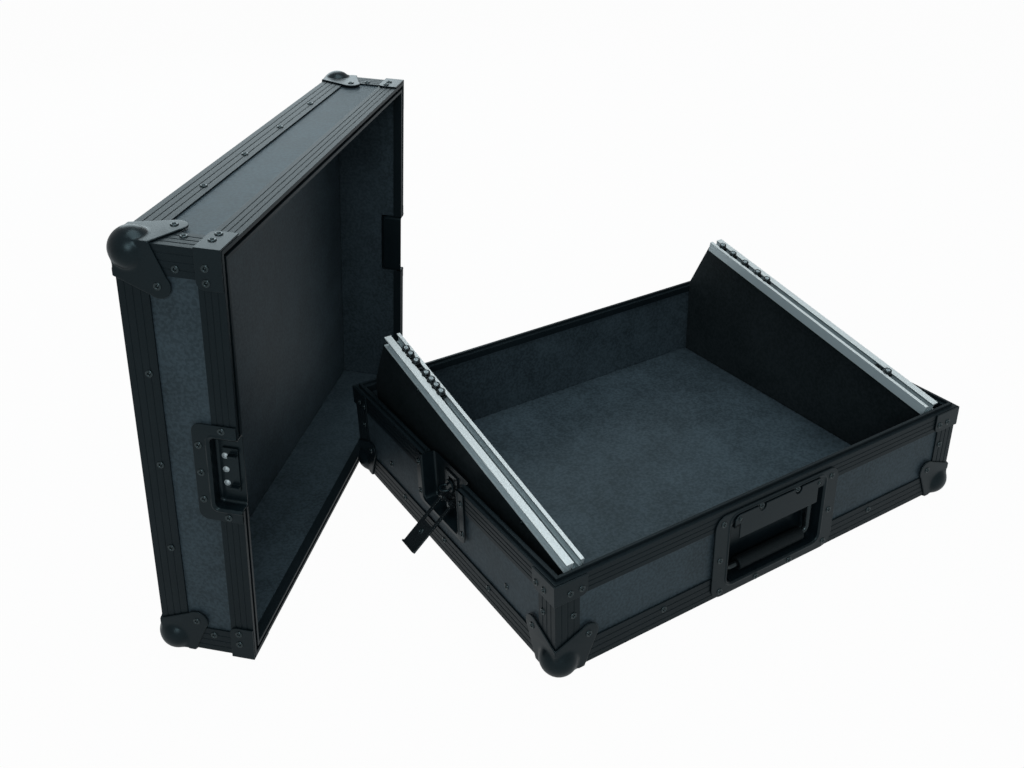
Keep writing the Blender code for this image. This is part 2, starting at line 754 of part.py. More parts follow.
def handle_cover():
    """The plate over the bail's bearings, notched round two rivets."""
    outline = [
        (-COVER_LOW_HALF_WIDTH, COVER_LOW),
        (COVER_LOW_HALF_WIDTH, COVER_LOW),
        (COVER_LOW_HALF_WIDTH, COVER_SHOULDER),
        (COVER_HALF_WIDTH, COVER_SHOULDER),
        (COVER_HALF_WIDTH, COVER_HIGH - COVER_CORNER),
        (COVER_HALF_WIDTH - COVER_CORNER, COVER_HIGH),
        (-COVER_HALF_WIDTH + COVER_CORNER, COVER_HIGH),
        (-COVER_HALF_WIDTH, COVER_HIGH - COVER_CORNER),
        (-COVER_HALF_WIDTH, COVER_SHOULDER),
        (-COVER_LOW_HALF_WIDTH, COVER_SHOULDER),
    ]
    back = SKIN + GAP
    plate = loft([[(a, out, b) for a, b in outline] for out in (back, back + SHEET)])
    for side in (LEFT, RIGHT):
        centre = (side * COVER_NOTCH_PLACE, COVER_HIGH - COVER_NOTCH_DEPTH + COVER_NOTCH_RADIUS)
        notch = arc(centre, COVER_NOTCH_RADIUS, 180, 360)
        notch += [(centre[0] + COVER_NOTCH_RADIUS, FAR), (centre[0] - COVER_NOTCH_RADIUS, FAR)]
        plate = cut(plate, loft([[(a, out, b) for a, b in notch] for out in (-FAR, FAR)]))
    return plate


def rounded_path(points, radii):
    """A path in a plane whose inner corners are rounded with the given radii."""
    path = [Vector(points[0])]
    for i, radius in enumerate(radii, start=1):
        corner = Vector(points[i])
        before = (Vector(points[i - 1]) - corner).normalized()
        after = (Vector(points[i + 1]) - corner).normalized()
        centre = corner + (before + after) * radius
        for step in range(ARC_STEPS + 1):
            angle = math.pi / 2 * step / ARC_STEPS
            path.append(centre - after * radius * math.cos(angle) - before * radius * math.sin(angle))
    path.append(Vector(points[-1]))
    return path


def bail_rod():
    """The bent rod of the handle, swept along its path, in the handle's coordinates."""
    low = BAIL_BAR_HEIGHT
    high = BAIL_PIVOT_HEIGHT
    half = BAIL_HALF_WIDTH
    corners = [
        (-BAIL_PIN_END, high),
        (-half, high),
        (-half, low),
        (half, low),
        (half, high),
        (BAIL_PIN_END, high),
    ]
    radii = (BAIL_PIN_BEND, BAIL_BAR_BEND, BAIL_BAR_BEND, BAIL_PIN_BEND)
    curve = bpy.data.curves.new("handle_bail", "CURVE")
    curve.dimensions = "3D"
    curve.bevel_depth = BAIL_RADIUS
    curve.bevel_resolution = BAIL_BEVEL_STEPS
    curve.use_fill_caps = True
    path = rounded_path(corners, radii)
    spline = curve.splines.new("POLY")
    spline.points.add(len(path) - 1)
    for point, (x, z) in zip(spline.points, path):
        point.co = (x, -BAIL_AXIS_DEPTH, z, 1.0)
    obj = link(bpy.data.objects.new("bail_curve", curve))
    evaluated = obj.evaluated_get(bpy.context.evaluated_depsgraph_get())
    mesh = bpy.data.meshes.new_from_object(evaluated)
    bpy.data.objects.remove(obj)
    return outward(mesh)


def handle_grip():
    """The rubber sleeve on the bail's bar."""
    rings = []
    bore = BAIL_RADIUS + BORE_PLAY
    chamfer = GRIP_RADIUS - bore - SHEET
    profile = [
        (GRIP_START, bore),
        (GRIP_START, GRIP_RADIUS - chamfer / 2),
        (GRIP_START + chamfer / 2, GRIP_RADIUS),
        (GRIP_END - chamfer / 2, GRIP_RADIUS),
        (GRIP_END, GRIP_RADIUS - chamfer / 2),
        (GRIP_END, bore),
    ]
    for a, b in circle(1.0):
        rings.append([(x, -BAIL_AXIS_DEPTH + a * r, BAIL_BAR_HEIGHT + b * r) for x, r in profile])
    return loft(rings, closed=True)


def build_handle():
    """The recessed handle in the front wall."""
    place = handle_matrix()
    pivot = place @ Vector((0.0, -BAIL_AXIS_DEPTH, BAIL_PIVOT_HEIGHT))
    add_piece("handle_dish", moved(handle_dish(), place), BLACK_STEEL)
    add_piece("handle_cover_plate", moved(handle_cover(), place), BLACK_STEEL)
    add_piece("handle_bail", moved(bail_rod(), place), BLACK_STEEL, origin=pivot)
    add_piece("handle_grip", moved(handle_grip(), place), RUBBER, origin=pivot)


def rail_point(x, along, over):
    """A point of a rail: x, the distance up the slope and the height over its front face."""
    y = RAIL_FRONT_Y + along * math.cos(RAIL_SLOPE) - over * math.sin(RAIL_SLOPE)
    z = RAIL_FRONT_Z + along * math.sin(RAIL_SLOPE) + over * math.cos(RAIL_SLOPE)
    return (x, y, z)


def rail_section():
    """The rail's outline as (distance out from its inner face, height over its front face)."""
    slot_end = SLOT_PLACE + SLOT_WIDTH
    web = RAIL_WIDTH - RAIL_WEB_INSET
    base = -RAIL_DEPTH + RAIL_BASE
    tongue_end = RAIL_TONGUE_PLACE + RAIL_TONGUE_WIDTH
    tongue_low = -RAIL_DEPTH - RAIL_TONGUE_HEIGHT
    return [
        (0.0, 0.0),
        (SLOT_PLACE, 0.0),
        (SLOT_PLACE, -RAIL_LIP),
        (RAIL_WALL, -RAIL_LIP),
        (RAIL_WALL, base),
        (web - RAIL_WALL, base),
        (web - RAIL_WALL, -RAIL_LIP),
        (slot_end, -RAIL_LIP),
        (slot_end, 0.0),
        (RAIL_WIDTH, 0.0),
        (RAIL_WIDTH, -RAIL_LIP),
        (web, -RAIL_LIP),
        (web, base),
        (RAIL_WIDTH, base),
        (RAIL_WIDTH, -RAIL_DEPTH),
        (tongue_end, -RAIL_DEPTH),
        (tongue_end, tongue_low),
        (RAIL_TONGUE_PLACE, tongue_low),
        (RAIL_TONGUE_PLACE, -RAIL_DEPTH),
        (0.0, -RAIL_DEPTH),
    ]


def rack_rail(side):
    """One rack rail, drawn along its slope."""
    rings = []
    for along in (RAIL_START, RAIL_END):
        ring = [rail_point(side * (RAIL_INNER + out), along, over) for out, over in rail_section()]
        rings.append(ring)
    return loft(rings)


def board_top(y):
    """The height of a board's top edge, just under the rail."""
    over = (RAIL_DEPTH + GAP) / math.cos(RAIL_SLOPE)
    return RAIL_FRONT_Z + math.tan(RAIL_SLOPE) * (y - RAIL_FRONT_Y) - over


def rail_board(side):
    """The upright board under a rail, grooved along its top edge for the rail's tongue."""
    end = CASE_DEPTH / 2 - RIM_INSIDE - GAP
    low = TRAY_FLOOR_Z + PANEL_INNER + GAP
    outline = [
        (-end, low),
        (end, low),
        (end, BOARD_REAR_LOW_Z),
        (BOARD_REAR_TOP_Y, board_top(BOARD_REAR_TOP_Y)),
        (-end, board_top(-end)),
    ]
    faces = (side * BOARD_INNER, side * (BOARD_INNER + BOARD_THICKNESS))
    board = loft([[(x, y, z) for y, z in outline] for x in faces])
    groove_near = RAIL_INNER + RAIL_TONGUE_PLACE - GAP
    groove_far = groove_near + RAIL_TONGUE_WIDTH + 2 * GAP
    groove_low = -RAIL_DEPTH - RAIL_TONGUE_HEIGHT - GAP
    rings = []
    for along in (-FAR, RAIL_END + FAR):
        corners = ((groove_near, groove_low), (groove_far, groove_low), (groove_far, 0.0), (groove_near, 0.0))
        rings.append([rail_point(side * x, along, over) for x, over in corners])
    return cut(board, loft(rings))


def build_rails():
    """The two sloping rack rails on their boards."""
    for side, name in SIDE_NAMES.items():
        add_piece(f"rail_board_{name}", rail_board(side), BOARD_PAINT)
        add_piece(f"rack_rail_{name}", rack_rail(side), BRIGHT_ALUMINIUM)


def lid_tilt():
    """The lean of the standing lid, which rests on two ball corners and two rim braces."""
    reach = LID_HEIGHT - BALL_INSET
    rise = BALL_INSET + SKIN
    return math.asin(BALL_RADIUS / math.hypot(reach, rise)) - math.atan2(rise, reach)


def lid_placement():
    """From the lid's half coordinates to the world, with its rear wall down and its rim to the tray."""
    tilt = lid_tilt()
    edge = Vector((math.sin(LID_TURN), math.cos(LID_TURN), 0.0))
    level = Vector((-math.cos(LID_TURN), math.sin(LID_TURN), 0.0))
    upright = Vector((0.0, 0.0, 1.0))
    outwards = level * math.cos(tilt) + upright * math.sin(tilt)
    upwards = upright * math.cos(tilt) - level * math.sin(tilt)
    corner = Vector((LID_CORNER_X, LID_CORNER_Y, SKIN * math.cos(tilt)))
    centre = corner + edge * (CASE_WIDTH / 2) + upwards * (CASE_DEPTH / 2)
    columns = (edge, -upwards, outwards)
    matrix = Matrix.Identity(4)
    for column, direction in enumerate(columns):
        for row in range(3):
            matrix[row][column] = direction[row]
    return Matrix.Translation(centre) @ matrix


def main():
    """Builds the tray, the lid and what is fitted to them."""
    clear_scene()
    tray_matrix = Matrix.Translation((0.0, 0.0, RIM_Z)) @ Matrix.Diagonal((1.0, 1.0, -1.0, 1.0))
    tray = Half("base", TRAY_HEIGHT, "floor", tray_matrix)
    stand = link(bpy.data.objects.new("lid_stand", None))
    stand.matrix_world = lid_placement()
    lid = Half("lid", LID_HEIGHT, "top", Matrix.Identity(4), stand)
    build_shell(tray, SHEET + GAP, tongue_section(), TRAY_LATCH_CAVITY)
    build_shell(lid, GROOVE_FLOOR + SHEET + GAP, groove_section(), LID_LATCH_CAVITY)
    build_latches(tray, lid)
    build_handle()
    build_rails()


main()
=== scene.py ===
"""Dresses the mixer flight case: its finishes, pressed parts, rivets and screws, and the studio.

Each half of the case is worked in half coordinates: x and y across it, and h, the distance from the
rim line towards the outer panel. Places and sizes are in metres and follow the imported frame.
"""

import json
import logging
import math
from dataclasses import dataclass, field
from enum import Enum
from typing import Any, Iterable, Iterator, Sequence

import bmesh
import bpy
from mathutils import Matrix, Vector

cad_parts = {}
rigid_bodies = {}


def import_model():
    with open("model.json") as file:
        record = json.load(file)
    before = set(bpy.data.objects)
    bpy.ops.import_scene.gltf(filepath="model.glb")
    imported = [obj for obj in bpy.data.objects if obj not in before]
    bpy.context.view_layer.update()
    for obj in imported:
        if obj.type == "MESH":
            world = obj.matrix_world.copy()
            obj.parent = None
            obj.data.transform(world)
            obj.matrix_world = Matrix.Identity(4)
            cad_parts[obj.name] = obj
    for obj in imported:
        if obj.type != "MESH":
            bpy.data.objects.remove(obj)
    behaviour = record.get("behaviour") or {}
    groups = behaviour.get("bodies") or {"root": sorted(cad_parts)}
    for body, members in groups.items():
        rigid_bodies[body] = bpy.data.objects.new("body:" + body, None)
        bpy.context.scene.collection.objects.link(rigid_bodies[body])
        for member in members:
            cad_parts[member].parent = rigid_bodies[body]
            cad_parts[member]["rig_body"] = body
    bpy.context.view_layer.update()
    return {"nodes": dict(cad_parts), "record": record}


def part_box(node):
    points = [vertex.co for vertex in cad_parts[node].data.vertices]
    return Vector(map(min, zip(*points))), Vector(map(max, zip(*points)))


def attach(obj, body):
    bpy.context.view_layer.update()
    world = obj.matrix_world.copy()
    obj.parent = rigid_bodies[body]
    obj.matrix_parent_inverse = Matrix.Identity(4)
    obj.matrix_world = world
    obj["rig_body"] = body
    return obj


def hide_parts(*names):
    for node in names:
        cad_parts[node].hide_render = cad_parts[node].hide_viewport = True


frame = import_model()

LOG = logging.getLogger("flight_case")

# Points nearer than WELD are one point. GAP is the air between parts, SHEET is the fittings' sheet,
# SKIN is how far a fitting's outer side stands over a profile, and FACE_BAND is a rail's bright skin.
WELD = 0.00001
FLAT_ANGLE = math.radians(0.5)
SHARP_ANGLE = math.radians(28.0)
GAP = 0.0003
SHEET = 0.0015
SKIN = SHEET + GAP
FACE_BAND = 0.0004

Pair = tuple[float, float]
Triple = tuple[float, float, float]
Colour = Triple
Outline = list[Pair]


class Side(Enum):
    """The two short walls of a half, by the sign of x."""

    LEFT = -1
    RIGHT = 1


class End(Enum):
    """The two long walls of a half, by the sign of y."""

    FRONT = -1
    REAR = 1


class Ends(Enum):
    """How rings of points end: joined in a loop, capped at both ends, or capped at the last alone."""

    JOINED = "joined"
    CAPPED = "capped"
    OPEN_FIRST = "open first"


class Graph:
    """A node tree that is written with expressions."""

    def __init__(self, tree: bpy.types.NodeTree) -> None:
        """Starts with an empty tree.

        Args:
            tree: The tree to fill. Nodes that it starts with are removed.
        """
        self.tree = tree
        tree.nodes.clear()

    def node(
        self, kind: str, settings: dict[str, Any] | None = None, sockets: dict[Any, Any] | None = None
    ) -> bpy.types.Node:
        """Adds a node.

        Args:
            kind: Blender's name of the node's type.
            settings: Properties, set first.
            sockets: Values, terms or lists of terms by the input's name or number.

        Returns:
            The new node.
        """
        node = self.tree.nodes.new(kind)
        for name, value in (settings or {}).items():
            setattr(node, name, value)
        for name, value in (sockets or {}).items():
            for item in value if isinstance(value, list) else [value]:
                if isinstance(item, Term):
                    self.tree.links.new(item.socket, node.inputs[name])
                else:
                    node.inputs[name].default_value = item
        return node

    def term(
        self,
        kind: str,
        settings: dict[str, Any] | None = None,
        sockets: dict[Any, Any] | None = None,
        output: Any = 0,
    ) -> "Term":
        """Adds a node and returns one of its outputs.

        Args:
            kind: Blender's name of the node's type.
            settings: Properties of the node.
            sockets: Values or terms for its inputs.
            output: Name or number of the output.

        Returns:
            The output as a term.
        """
        return Term(self, self.node(kind, settings, sockets).outputs[output])

    def mix(self, share: Any, first: Any, second: Any) -> "Term":
        """Blends two colours.

        Args:
            share: How much of the second colour shows.
            first: The colour at a share of 0.
            second: The colour at a share of 1.

        Returns:
            The blended colour.
        """
        settings = {"data_type": "RGBA", "blend_type": "MIX"}
        colours = [item if isinstance(item, Term) else (*item, 1.0) for item in (first, second)]
        return self.term("ShaderNodeMix", settings, {"Factor": share, 6: colours[0], 7: colours[1]}, 2)


@dataclass(frozen=True)
class Term:
    """One output socket. Operators on it add Math nodes."""

    graph: Graph
    socket: bpy.types.NodeSocket

    def _maths(self, operation: str, first: Any, second: Any) -> "Term":
        """Adds a Math node on two values."""
        return self.graph.term("ShaderNodeMath", {"operation": operation}, {0: first, 1: second})

    def __add__(self, other: Any) -> "Term":
        """Sum."""
        return self._maths("ADD", self, other)

    def __radd__(self, other: Any) -> "Term":
        """Sum, reflected."""
        return self._maths("ADD", other, self)

    def __sub__(self, other: Any) -> "Term":
        """Difference."""
        return self._maths("SUBTRACT", self, other)

    def __rsub__(self, other: Any) -> "Term":
        """Difference, reflected."""
        return self._maths("SUBTRACT", other, self)

    def __mul__(self, other: Any) -> "Term":
        """Product."""
        return self._maths("MULTIPLY", self, other)

    def __rmul__(self, other: Any) -> "Term":
        """Product, reflected."""
        return self._maths("MULTIPLY", other, self)

    def __truediv__(self, other: Any) -> "Term":
        """Quotient."""
        return self._maths("DIVIDE", self, other)

    def over(self, low: float, high: float) -> "Term":
        """A mask that rises from 0 at low to 1 at high."""
        return self.graph.term("ShaderNodeMapRange", None, {0: self, 1: low, 2: high})


@dataclass(frozen=True)
class Finish:
    """A surface finish: two close colours in a fine grain, with rubbed patches.

    Grains are in grains per metre, heights in metres. Stretch and slope lay the grain along a run.
    The slot is the record's material slot.
    """

    name: str
    dark: Colour
    light: Colour
    roughness: float
    spread: float = 0.08
    metallic: float = 0.0
    grain: float = 900.0
    height: float = 0.00003
    patch: float = 9.0
    specular: float = 0.5
    gloss: Colour = (0.74, 0.95, 1.0)
    stretch: Triple = (1.0, 1.0, 1.0)
    slope: float = 0.0
    slot: str = "black_steel"

    def colour(self, graph: Graph, place: Term, share: Term) -> Term:
        """The surface's colour.

        Args:
            graph: The material's tree.
            place: The point on the piece.
            share: The grain and the patches, from 0 to 1.

        Returns:
            The blend of the two colours.
        """
        return graph.mix(share, self.dark, self.light)

    def material(self) -> bpy.types.Material:
        """Makes the material once and returns it.

        Returns:
            The node-based material of this finish.
        """
        if self.name in bpy.data.materials:
            return bpy.data.materials[self.name]
        material = bpy.data.materials.new(self.name)
        material.use_nodes = True
        graph = Graph(material.node_tree)
        place = graph.term("ShaderNodeTexCoord", output="Object")
        sockets = {"Vector": place, "Rotation": (-self.slope, 0.0, 0.0), "Scale": self.stretch}
        run = graph.term("ShaderNodeMapping", {"vector_type": "TEXTURE"}, sockets)
        grain = self._noise(graph, run, self.grain, 3.0, 0.5)
        patches = self._noise(graph, place, self.patch, 8.0, 0.72)
        share = grain.over(0.40, 0.60) * 0.5 + patches.over(0.38, 0.64) * 0.5
        rough = self.roughness - self.spread * 0.5 + (grain + patches) * (self.spread * 0.5)
        bump = graph.term(
            "ShaderNodeBump", None, {"Height": grain, "Strength": 1.0, "Distance": self.height}, "Normal"
        )
        shader = {
            "Base Color": self.colour(graph, place, share),
            "Roughness": rough,
            "Metallic": self.metallic,
            "Specular IOR Level": self.specular,
            "Specular Tint": (*self.gloss, 1.0),
            "Normal": bump,
        }
        surface = graph.term("ShaderNodeBsdfPrincipled", None, shader)
        graph.node("ShaderNodeOutputMaterial", None, {"Surface": surface})
        return material

    @staticmethod
    def _noise(graph: Graph, place: Term, scale: float, detail: float, rough: float) -> Term:
        """Adds a noise pattern of a scale at a place."""
        sockets = {"Vector": place, "Scale": scale, "Detail": detail, "Roughness": rough}
        return graph.term("ShaderNodeTexNoise", {"noise_dimensions": "3D"}, sockets)


@dataclass(frozen=True)
class RailFinish(Finish):
    """Extruded aluminium: front strips brighter than the walls, and a slot darkened with painted shade."""

    face_height: float = 0.0
    slot_x: float = 0.2327
    slot_half: float = 0.0039
    duller: Colour = (0.74, 0.79, 0.80)
    # painted shade: this dark colour stands for the shade down in the rail's slot
    slot_shade: Colour = (0.13, 0.16, 0.17)
    edge: float = 0.0005

    def colour(self, graph: Graph, place: Term, share: Term) -> Term:
        """The bright colour on the front strips, the duller one on the walls under them, and painted shade
        in the slot.

        Args:
            graph: The material's tree.
            place: The point on the piece.
            share: The grain and the patches, from 0 to 1.

        Returns:
            The blended colour.
        """
        parts = graph.node("ShaderNodeSeparateXYZ", None, {0: place})
        side, back, up = (Term(graph, parts.outputs[axis]) for axis in range(3))
        over = up * math.cos(self.slope) - back * math.sin(self.slope) - self.face_height
        beside = (side * side - self.slot_x**2) / (2 * self.slot_x)
        # painted shade: a mask that is 1 across the slot, where the dark shade colour is laid
        slot_shade_mask = (beside * beside).over((self.slot_half + self.edge) ** 2, self.slot_half**2)
        under = graph.mix(slot_shade_mask, self.duller, self.slot_shade)
        on_face = over.over(-self.edge - FACE_BAND, -FACE_BAND)
        return graph.mix(on_face, under, super().colour(graph, place, share))


def rail_face() -> float:
    """How far the rails' sloping front faces lie over the origin, square to them."""
    place, facing = mount("rail_face_left")
    return place.dot(facing)


def mount(name: str) -> tuple[Vector, Vector]:
    """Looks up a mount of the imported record.

    Args:
        name: The mount's name.

    Returns:
        Its point and its direction.
    """
    found = next(item for item in frame["record"]["mounts"] if item["name"] == name)
    return Vector(found["pos_m"]), Vector(found["axis"]).normalized()


RAIL_SLOPE = math.radians(12.0)
LAMINATE = Finish(
    "textured_laminate",
    (0.020, 0.028, 0.034),
    (0.060, 0.080, 0.095),
    0.52,
    0.12,
    grain=330.0,
    height=0.00006,
    patch=16.0,
    specular=0.35,
    slot="laminate",
)
BOARD = Finish(
    "painted_board",
    (0.008, 0.011, 0.012),
    (0.024, 0.029, 0.032),
    0.66,
    0.12,
    grain=330.0,
    specular=0.2,
    slot="board_paint",
)
PROFILE = Finish(
    "anodised_profile",
    (0.004, 0.007, 0.009),
    (0.010, 0.015, 0.018),
    0.42,
    0.10,
    specular=0.2,
    slot="black_profile",
)
STEEL = Finish("coated_steel", (0.003, 0.006, 0.008), (0.008, 0.013, 0.016), 0.30, 0.12, specular=0.26)
ALUMINIUM = RailFinish(
    "drawn_aluminium",
    (0.90, 0.89, 0.87),
    (1.00, 0.99, 0.97),
    0.36,
    0.14,
    metallic=0.2,
    height=0.00002,
    stretch=(1.0, 60.0, 1.0),
    slope=RAIL_SLOPE,
    slot="rail_aluminium",
    face_height=rail_face(),
)
RIVET = Finish("rivet_steel", (0.005, 0.008, 0.009), (0.014, 0.020, 0.022), 0.16, 0.08, specular=0.6)
RUBBER = Finish(
    "ribbed_rubber",
    (0.004, 0.005, 0.006),
    (0.009, 0.011, 0.012),
    0.60,
    0.12,
    grain=1500.0,
    specular=0.2,
    slot="rubber_grip",
)
ZINC = Finish("zinc_rivet", (0.50, 0.53, 0.54), (0.72, 0.74, 0.74), 0.40, 0.16, metallic=0.3)
SCREW = Finish("blackened_screw", (0.007, 0.008, 0.009), (0.018, 0.020, 0.022), 0.24, 0.12)
# painted highlight: a bright finish for the floors of the black screws' cups, which stands for a reflection
SCREW_GLINT = Finish("worn_screw_cup", (0.44, 0.48, 0.49), (0.66, 0.70, 0.71), 0.30, 0.12, metallic=0.2)

SLOT_FINISHES = {finish.slot: finish for finish in (LAMINATE, BOARD, PROFILE, STEEL, ALUMINIUM, RUBBER)}


def node_mesh(node: str) -> bpy.types.Mesh:
    """The solid of a node."""
    return frame["nodes"][node].data


def link(name: str, data: Any) -> bpy.types.Object:
    """Puts new object data into the scene."""
    obj = bpy.data.objects.new(name, data)
    bpy.context.scene.collection.objects.link(obj)
    return obj


def modify(obj: bpy.types.Object, kind: str, **settings: Any) -> bpy.types.Modifier:
    """Adds a modifier with its settings, set in their order.

    Args:
        obj: The object to work on.
        kind: Blender's name of the modifier's type.
        settings: Its properties.

    Returns:
        The modifier.
    """
    modifier = obj.modifiers.new(kind.lower(), kind)
    for name, value in settings.items():
        setattr(modifier, name, value)
    return modifier


def plain_mesh(obj: bpy.types.Object) -> bpy.types.Mesh:
    """Takes in an object with modifiers and leaves its mesh.

    Args:
        obj: The object. It is removed.

    Returns:
        Its evaluated mesh, under the object's name.
    """
    name = obj.name
    evaluated = obj.evaluated_get(bpy.context.evaluated_depsgraph_get())
    mesh = bpy.data.meshes.new_from_object(evaluated)
    bpy.data.objects.remove(obj)
    mesh.name = name
    return mesh


def baked(obj: bpy.types.Object) -> bpy.types.Object:
    """Turns an object with modifiers into one of the same name with a plain mesh."""
    name = obj.name
    return link(name, plain_mesh(obj))


def opened(mesh: bpy.types.Mesh) -> bmesh.types.BMesh:
    """A mesh as an editable shape."""
    shape = bmesh.new()
    shape.from_mesh(mesh)
    return shape


def closed(shape: bmesh.types.BMesh, mesh: bpy.types.Mesh) -> bpy.types.Mesh:
    """Writes an edited shape into a mesh, frees the shape and returns the mesh."""
    shape.to_mesh(mesh)
    shape.free()
    return mesh


def cut_away(shape: bmesh.types.BMesh, place: Triple, normal: Triple) -> dict[str, Any]:
    """Cuts off what lies past a plane.

    Args:
        shape: The shape to cut.
        place: A point of the plane.
        normal: The plane's direction, towards what goes.

    Returns:
        What the cut made, as bmesh gives it.
    """
    geometry = [*shape.verts, *shape.edges, *shape.faces]
    return bmesh.ops.bisect_plane(shape, geom=geometry, plane_co=place, plane_no=normal, clear_outer=True)


def dress(obj: bpy.types.Object, finish: Finish, body: str, *nodes: str) -> None:
    """Gives a finished piece its material and its body, and hides the nodes that it stands for.

    Args:
        obj: The piece, at the origin, with its place in its mesh.
        finish: Its surface.
        body: The body that it rides on.
        nodes: The nodes that it replaces.
    """
    if finish.material().name not in obj.data.materials:
        obj.data.materials.clear()
        obj.data.materials.append(finish.material())
    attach(obj, body)
    if nodes:
        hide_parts(*nodes)
    LOG.info("%s: %d faces on %s", obj.name, len(obj.data.polygons), body)


def mesh_from(rings: Sequence[Sequence[Sequence[float]]], ends: Ends = Ends.CAPPED) -> bpy.types.Mesh:
    """Joins rings of points into a mesh.

    Args:
        rings: Rings with the same number of points.
        ends: How the first and the last ring end.

    Returns:
        The mesh, with its faces pointing outwards where it is closed.
    """
    count = len(rings[0])
    points = [tuple(point) for ring in rings for point in ring]
    faces = []
    for ring in range(len(rings) if ends is Ends.JOINED else len(rings) - 1):
        here = ring * count
        there = (ring + 1) % len(rings) * count
        for i in range(count):
            j = (i + 1) % count
            faces.append((here + i, here + j, there + j, there + i))
    if ends is Ends.CAPPED:
        faces.append(tuple(range(count)))
    if ends is not Ends.JOINED:
        faces.append(tuple(range(len(points) - count, len(points))))
    mesh = bpy.data.meshes.new("rings")
    mesh.from_pydata(points, [], faces)
    return outward(mesh)


def outward(mesh: bpy.types.Mesh) -> bpy.types.Mesh:
    """Merges doubled points and turns the faces of a mesh outwards."""
    shape = opened(mesh)
    bmesh.ops.remove_doubles(shape, verts=shape.verts, dist=WELD)
    bmesh.ops.recalc_face_normals(shape, faces=shape.faces)
    return closed(shape, mesh)


def moved(mesh: bpy.types.Mesh, matrix: Matrix) -> bpy.types.Mesh:
    """A copy of a mesh through a matrix, with its faces outwards."""
    copy = mesh.copy()
    copy.transform(matrix)
    return outward(copy)


def combined(first: bpy.types.Mesh, second: bpy.types.Mesh, operation: str) -> bpy.types.Mesh:
    """Joins or cuts two closed meshes.

    Args:
        first: The mesh to work on.
        second: The mesh to join to it or cut out of it.
        operation: UNION or DIFFERENCE.

    Returns:
        The result as a new mesh.
    """
    target = link("target", first)
    tool = link("tool", second)
    modify(target, "BOOLEAN", operation=operation, object=tool)
    mesh = plain_mesh(target)
    bpy.data.objects.remove(tool)
    return mesh


def arc(centre: Pair, radius: float, start: float, end: float, steps: int) -> Outline:
    """Points of an arc, with both of its ends.

    Args:
        centre: Its middle.
        radius: Its radius.
        start: The first angle, in degrees.
        end: The last angle, in degrees.
        steps: How many chords it has.

    Returns:
        The points in order.
    """
    angles = [math.radians(start + (end - start) * i / steps) for i in range(steps + 1)]
    return [(centre[0] + radius * math.cos(a), centre[1] + radius * math.sin(a)) for a in angles]


def box_mesh(low: Sequence[float], high: Sequence[float]) -> bpy.types.Mesh:
    """A block between two corners."""
    (x0, y0, z0), (x1, y1, z1) = low, high
    rings = [[(x, y0, z0), (x, y1, z0), (x, y1, z1), (x, y0, z1)] for x in (x0, x1)]
    return mesh_from(rings)


def smoothed(obj: bpy.types.Object) -> bpy.types.Object:
    """Shades a piece smooth, with its large faces kept flat, and bakes it."""
    obj.data.shade_smooth()
    modify(obj, "WEIGHTED_NORMAL", keep_sharp=False)
    return baked(obj)


def softened(name: str, mesh: bpy.types.Mesh, width: float, segments: int = 2) -> bpy.types.Object:
    """Breaks the sharp edges of a mesh, as a press, a mill or a file leaves them.

    Args:
        name: The new piece's name.
        mesh: A closed mesh, which may be loose triangles.
        width: The width of the broken edge.
        segments: How many steps its round has.

    Returns:
        The piece, shaded smooth.
    """
    shape = opened(mesh)
    bmesh.ops.remove_doubles(shape, verts=shape.verts, dist=WELD)
    bmesh.ops.dissolve_limit(
        shape, angle_limit=FLAT_ANGLE, verts=shape.verts, edges=shape.edges, delimit={"NORMAL"}
    )
    edges = [e for e in shape.edges if e.is_manifold and e.calc_face_angle() > SHARP_ANGLE]
    bmesh.ops.bevel(
        shape,
        geom=edges,
        offset=width,
        offset_type="OFFSET",
        segments=segments,
        profile=0.5,
        affect="EDGES",
        clamp_overlap=True,
    )
    return smoothed(link(name, closed(shape, bpy.data.meshes.new(name))))


@dataclass(frozen=True)
class Spot:
    """A place for a fastener: a point on a surface and the way out of it."""

    point: Vector
    facing: Vector


@dataclass
class Half:
    """One half of the case, with the matrix from half coordinates to the world."""

    name: str
    body: str
    width: float
    depth: float
    height: float
    matrix: Matrix

    def spot(self, point: Sequence[float], facing: Sequence[float]) -> Spot:
        """A spot that is given in half coordinates."""
        turn = self.matrix.to_3x3()
        return Spot(self.matrix @ Vector(point), (turn @ Vector(facing)).normalized())

    def on_side(self, side: Side, y: float, h: float, out: float = 0.0) -> Spot:
        """A spot on a short wall, so far out of the profiles' face."""
        s = side.value
        return self.spot((s * (self.width / 2 + out), y, h), (s, 0.0, 0.0))

    def on_end(self, end: End, x: float, h: float, out: float = 0.0) -> Spot:
        """A spot on a long wall, so far out of the profiles' face."""
        e = end.value
        return self.spot((x, e * (self.depth / 2 + out), h), (0.0, e, 0.0))

    def on_outer(self, x: float, y: float, out: float = 0.0) -> Spot:
        """A spot on the outer face."""
        return self.spot((x, y, self.height + out), (0.0, 0.0, 1.0))

    def _placed(self, signs: Triple, place: Triple) -> Matrix:
        """From distances off a place, with their signs, to the world."""
        return self.matrix @ Matrix.Translation(place) @ Matrix.Diagonal((*signs, 1.0))

    def corner(self, side: Side, end: End) -> Matrix:
        """From inward distances off a corner's three faces to the world."""
        s, e = side.value, end.value
        return self._placed((-s, -e, -1.0), (s * self.width / 2, e * self.depth / 2, self.height))

    def rim_corner(self, side: Side, end: End) -> Matrix:
        """From inward distances off two walls, and h, to the world."""
        s, e = side.value, end.value
        return self._placed((-s, -e, 1.0), (s * self.width / 2, e * self.depth / 2, 0.0))

    def side_face(self, side: Side) -> Matrix:
        """From (distance out of a short wall, y, h) to the world."""
        return self._placed((side.value, 1.0, 1.0), (side.value * self.width / 2, 0.0, 0.0))


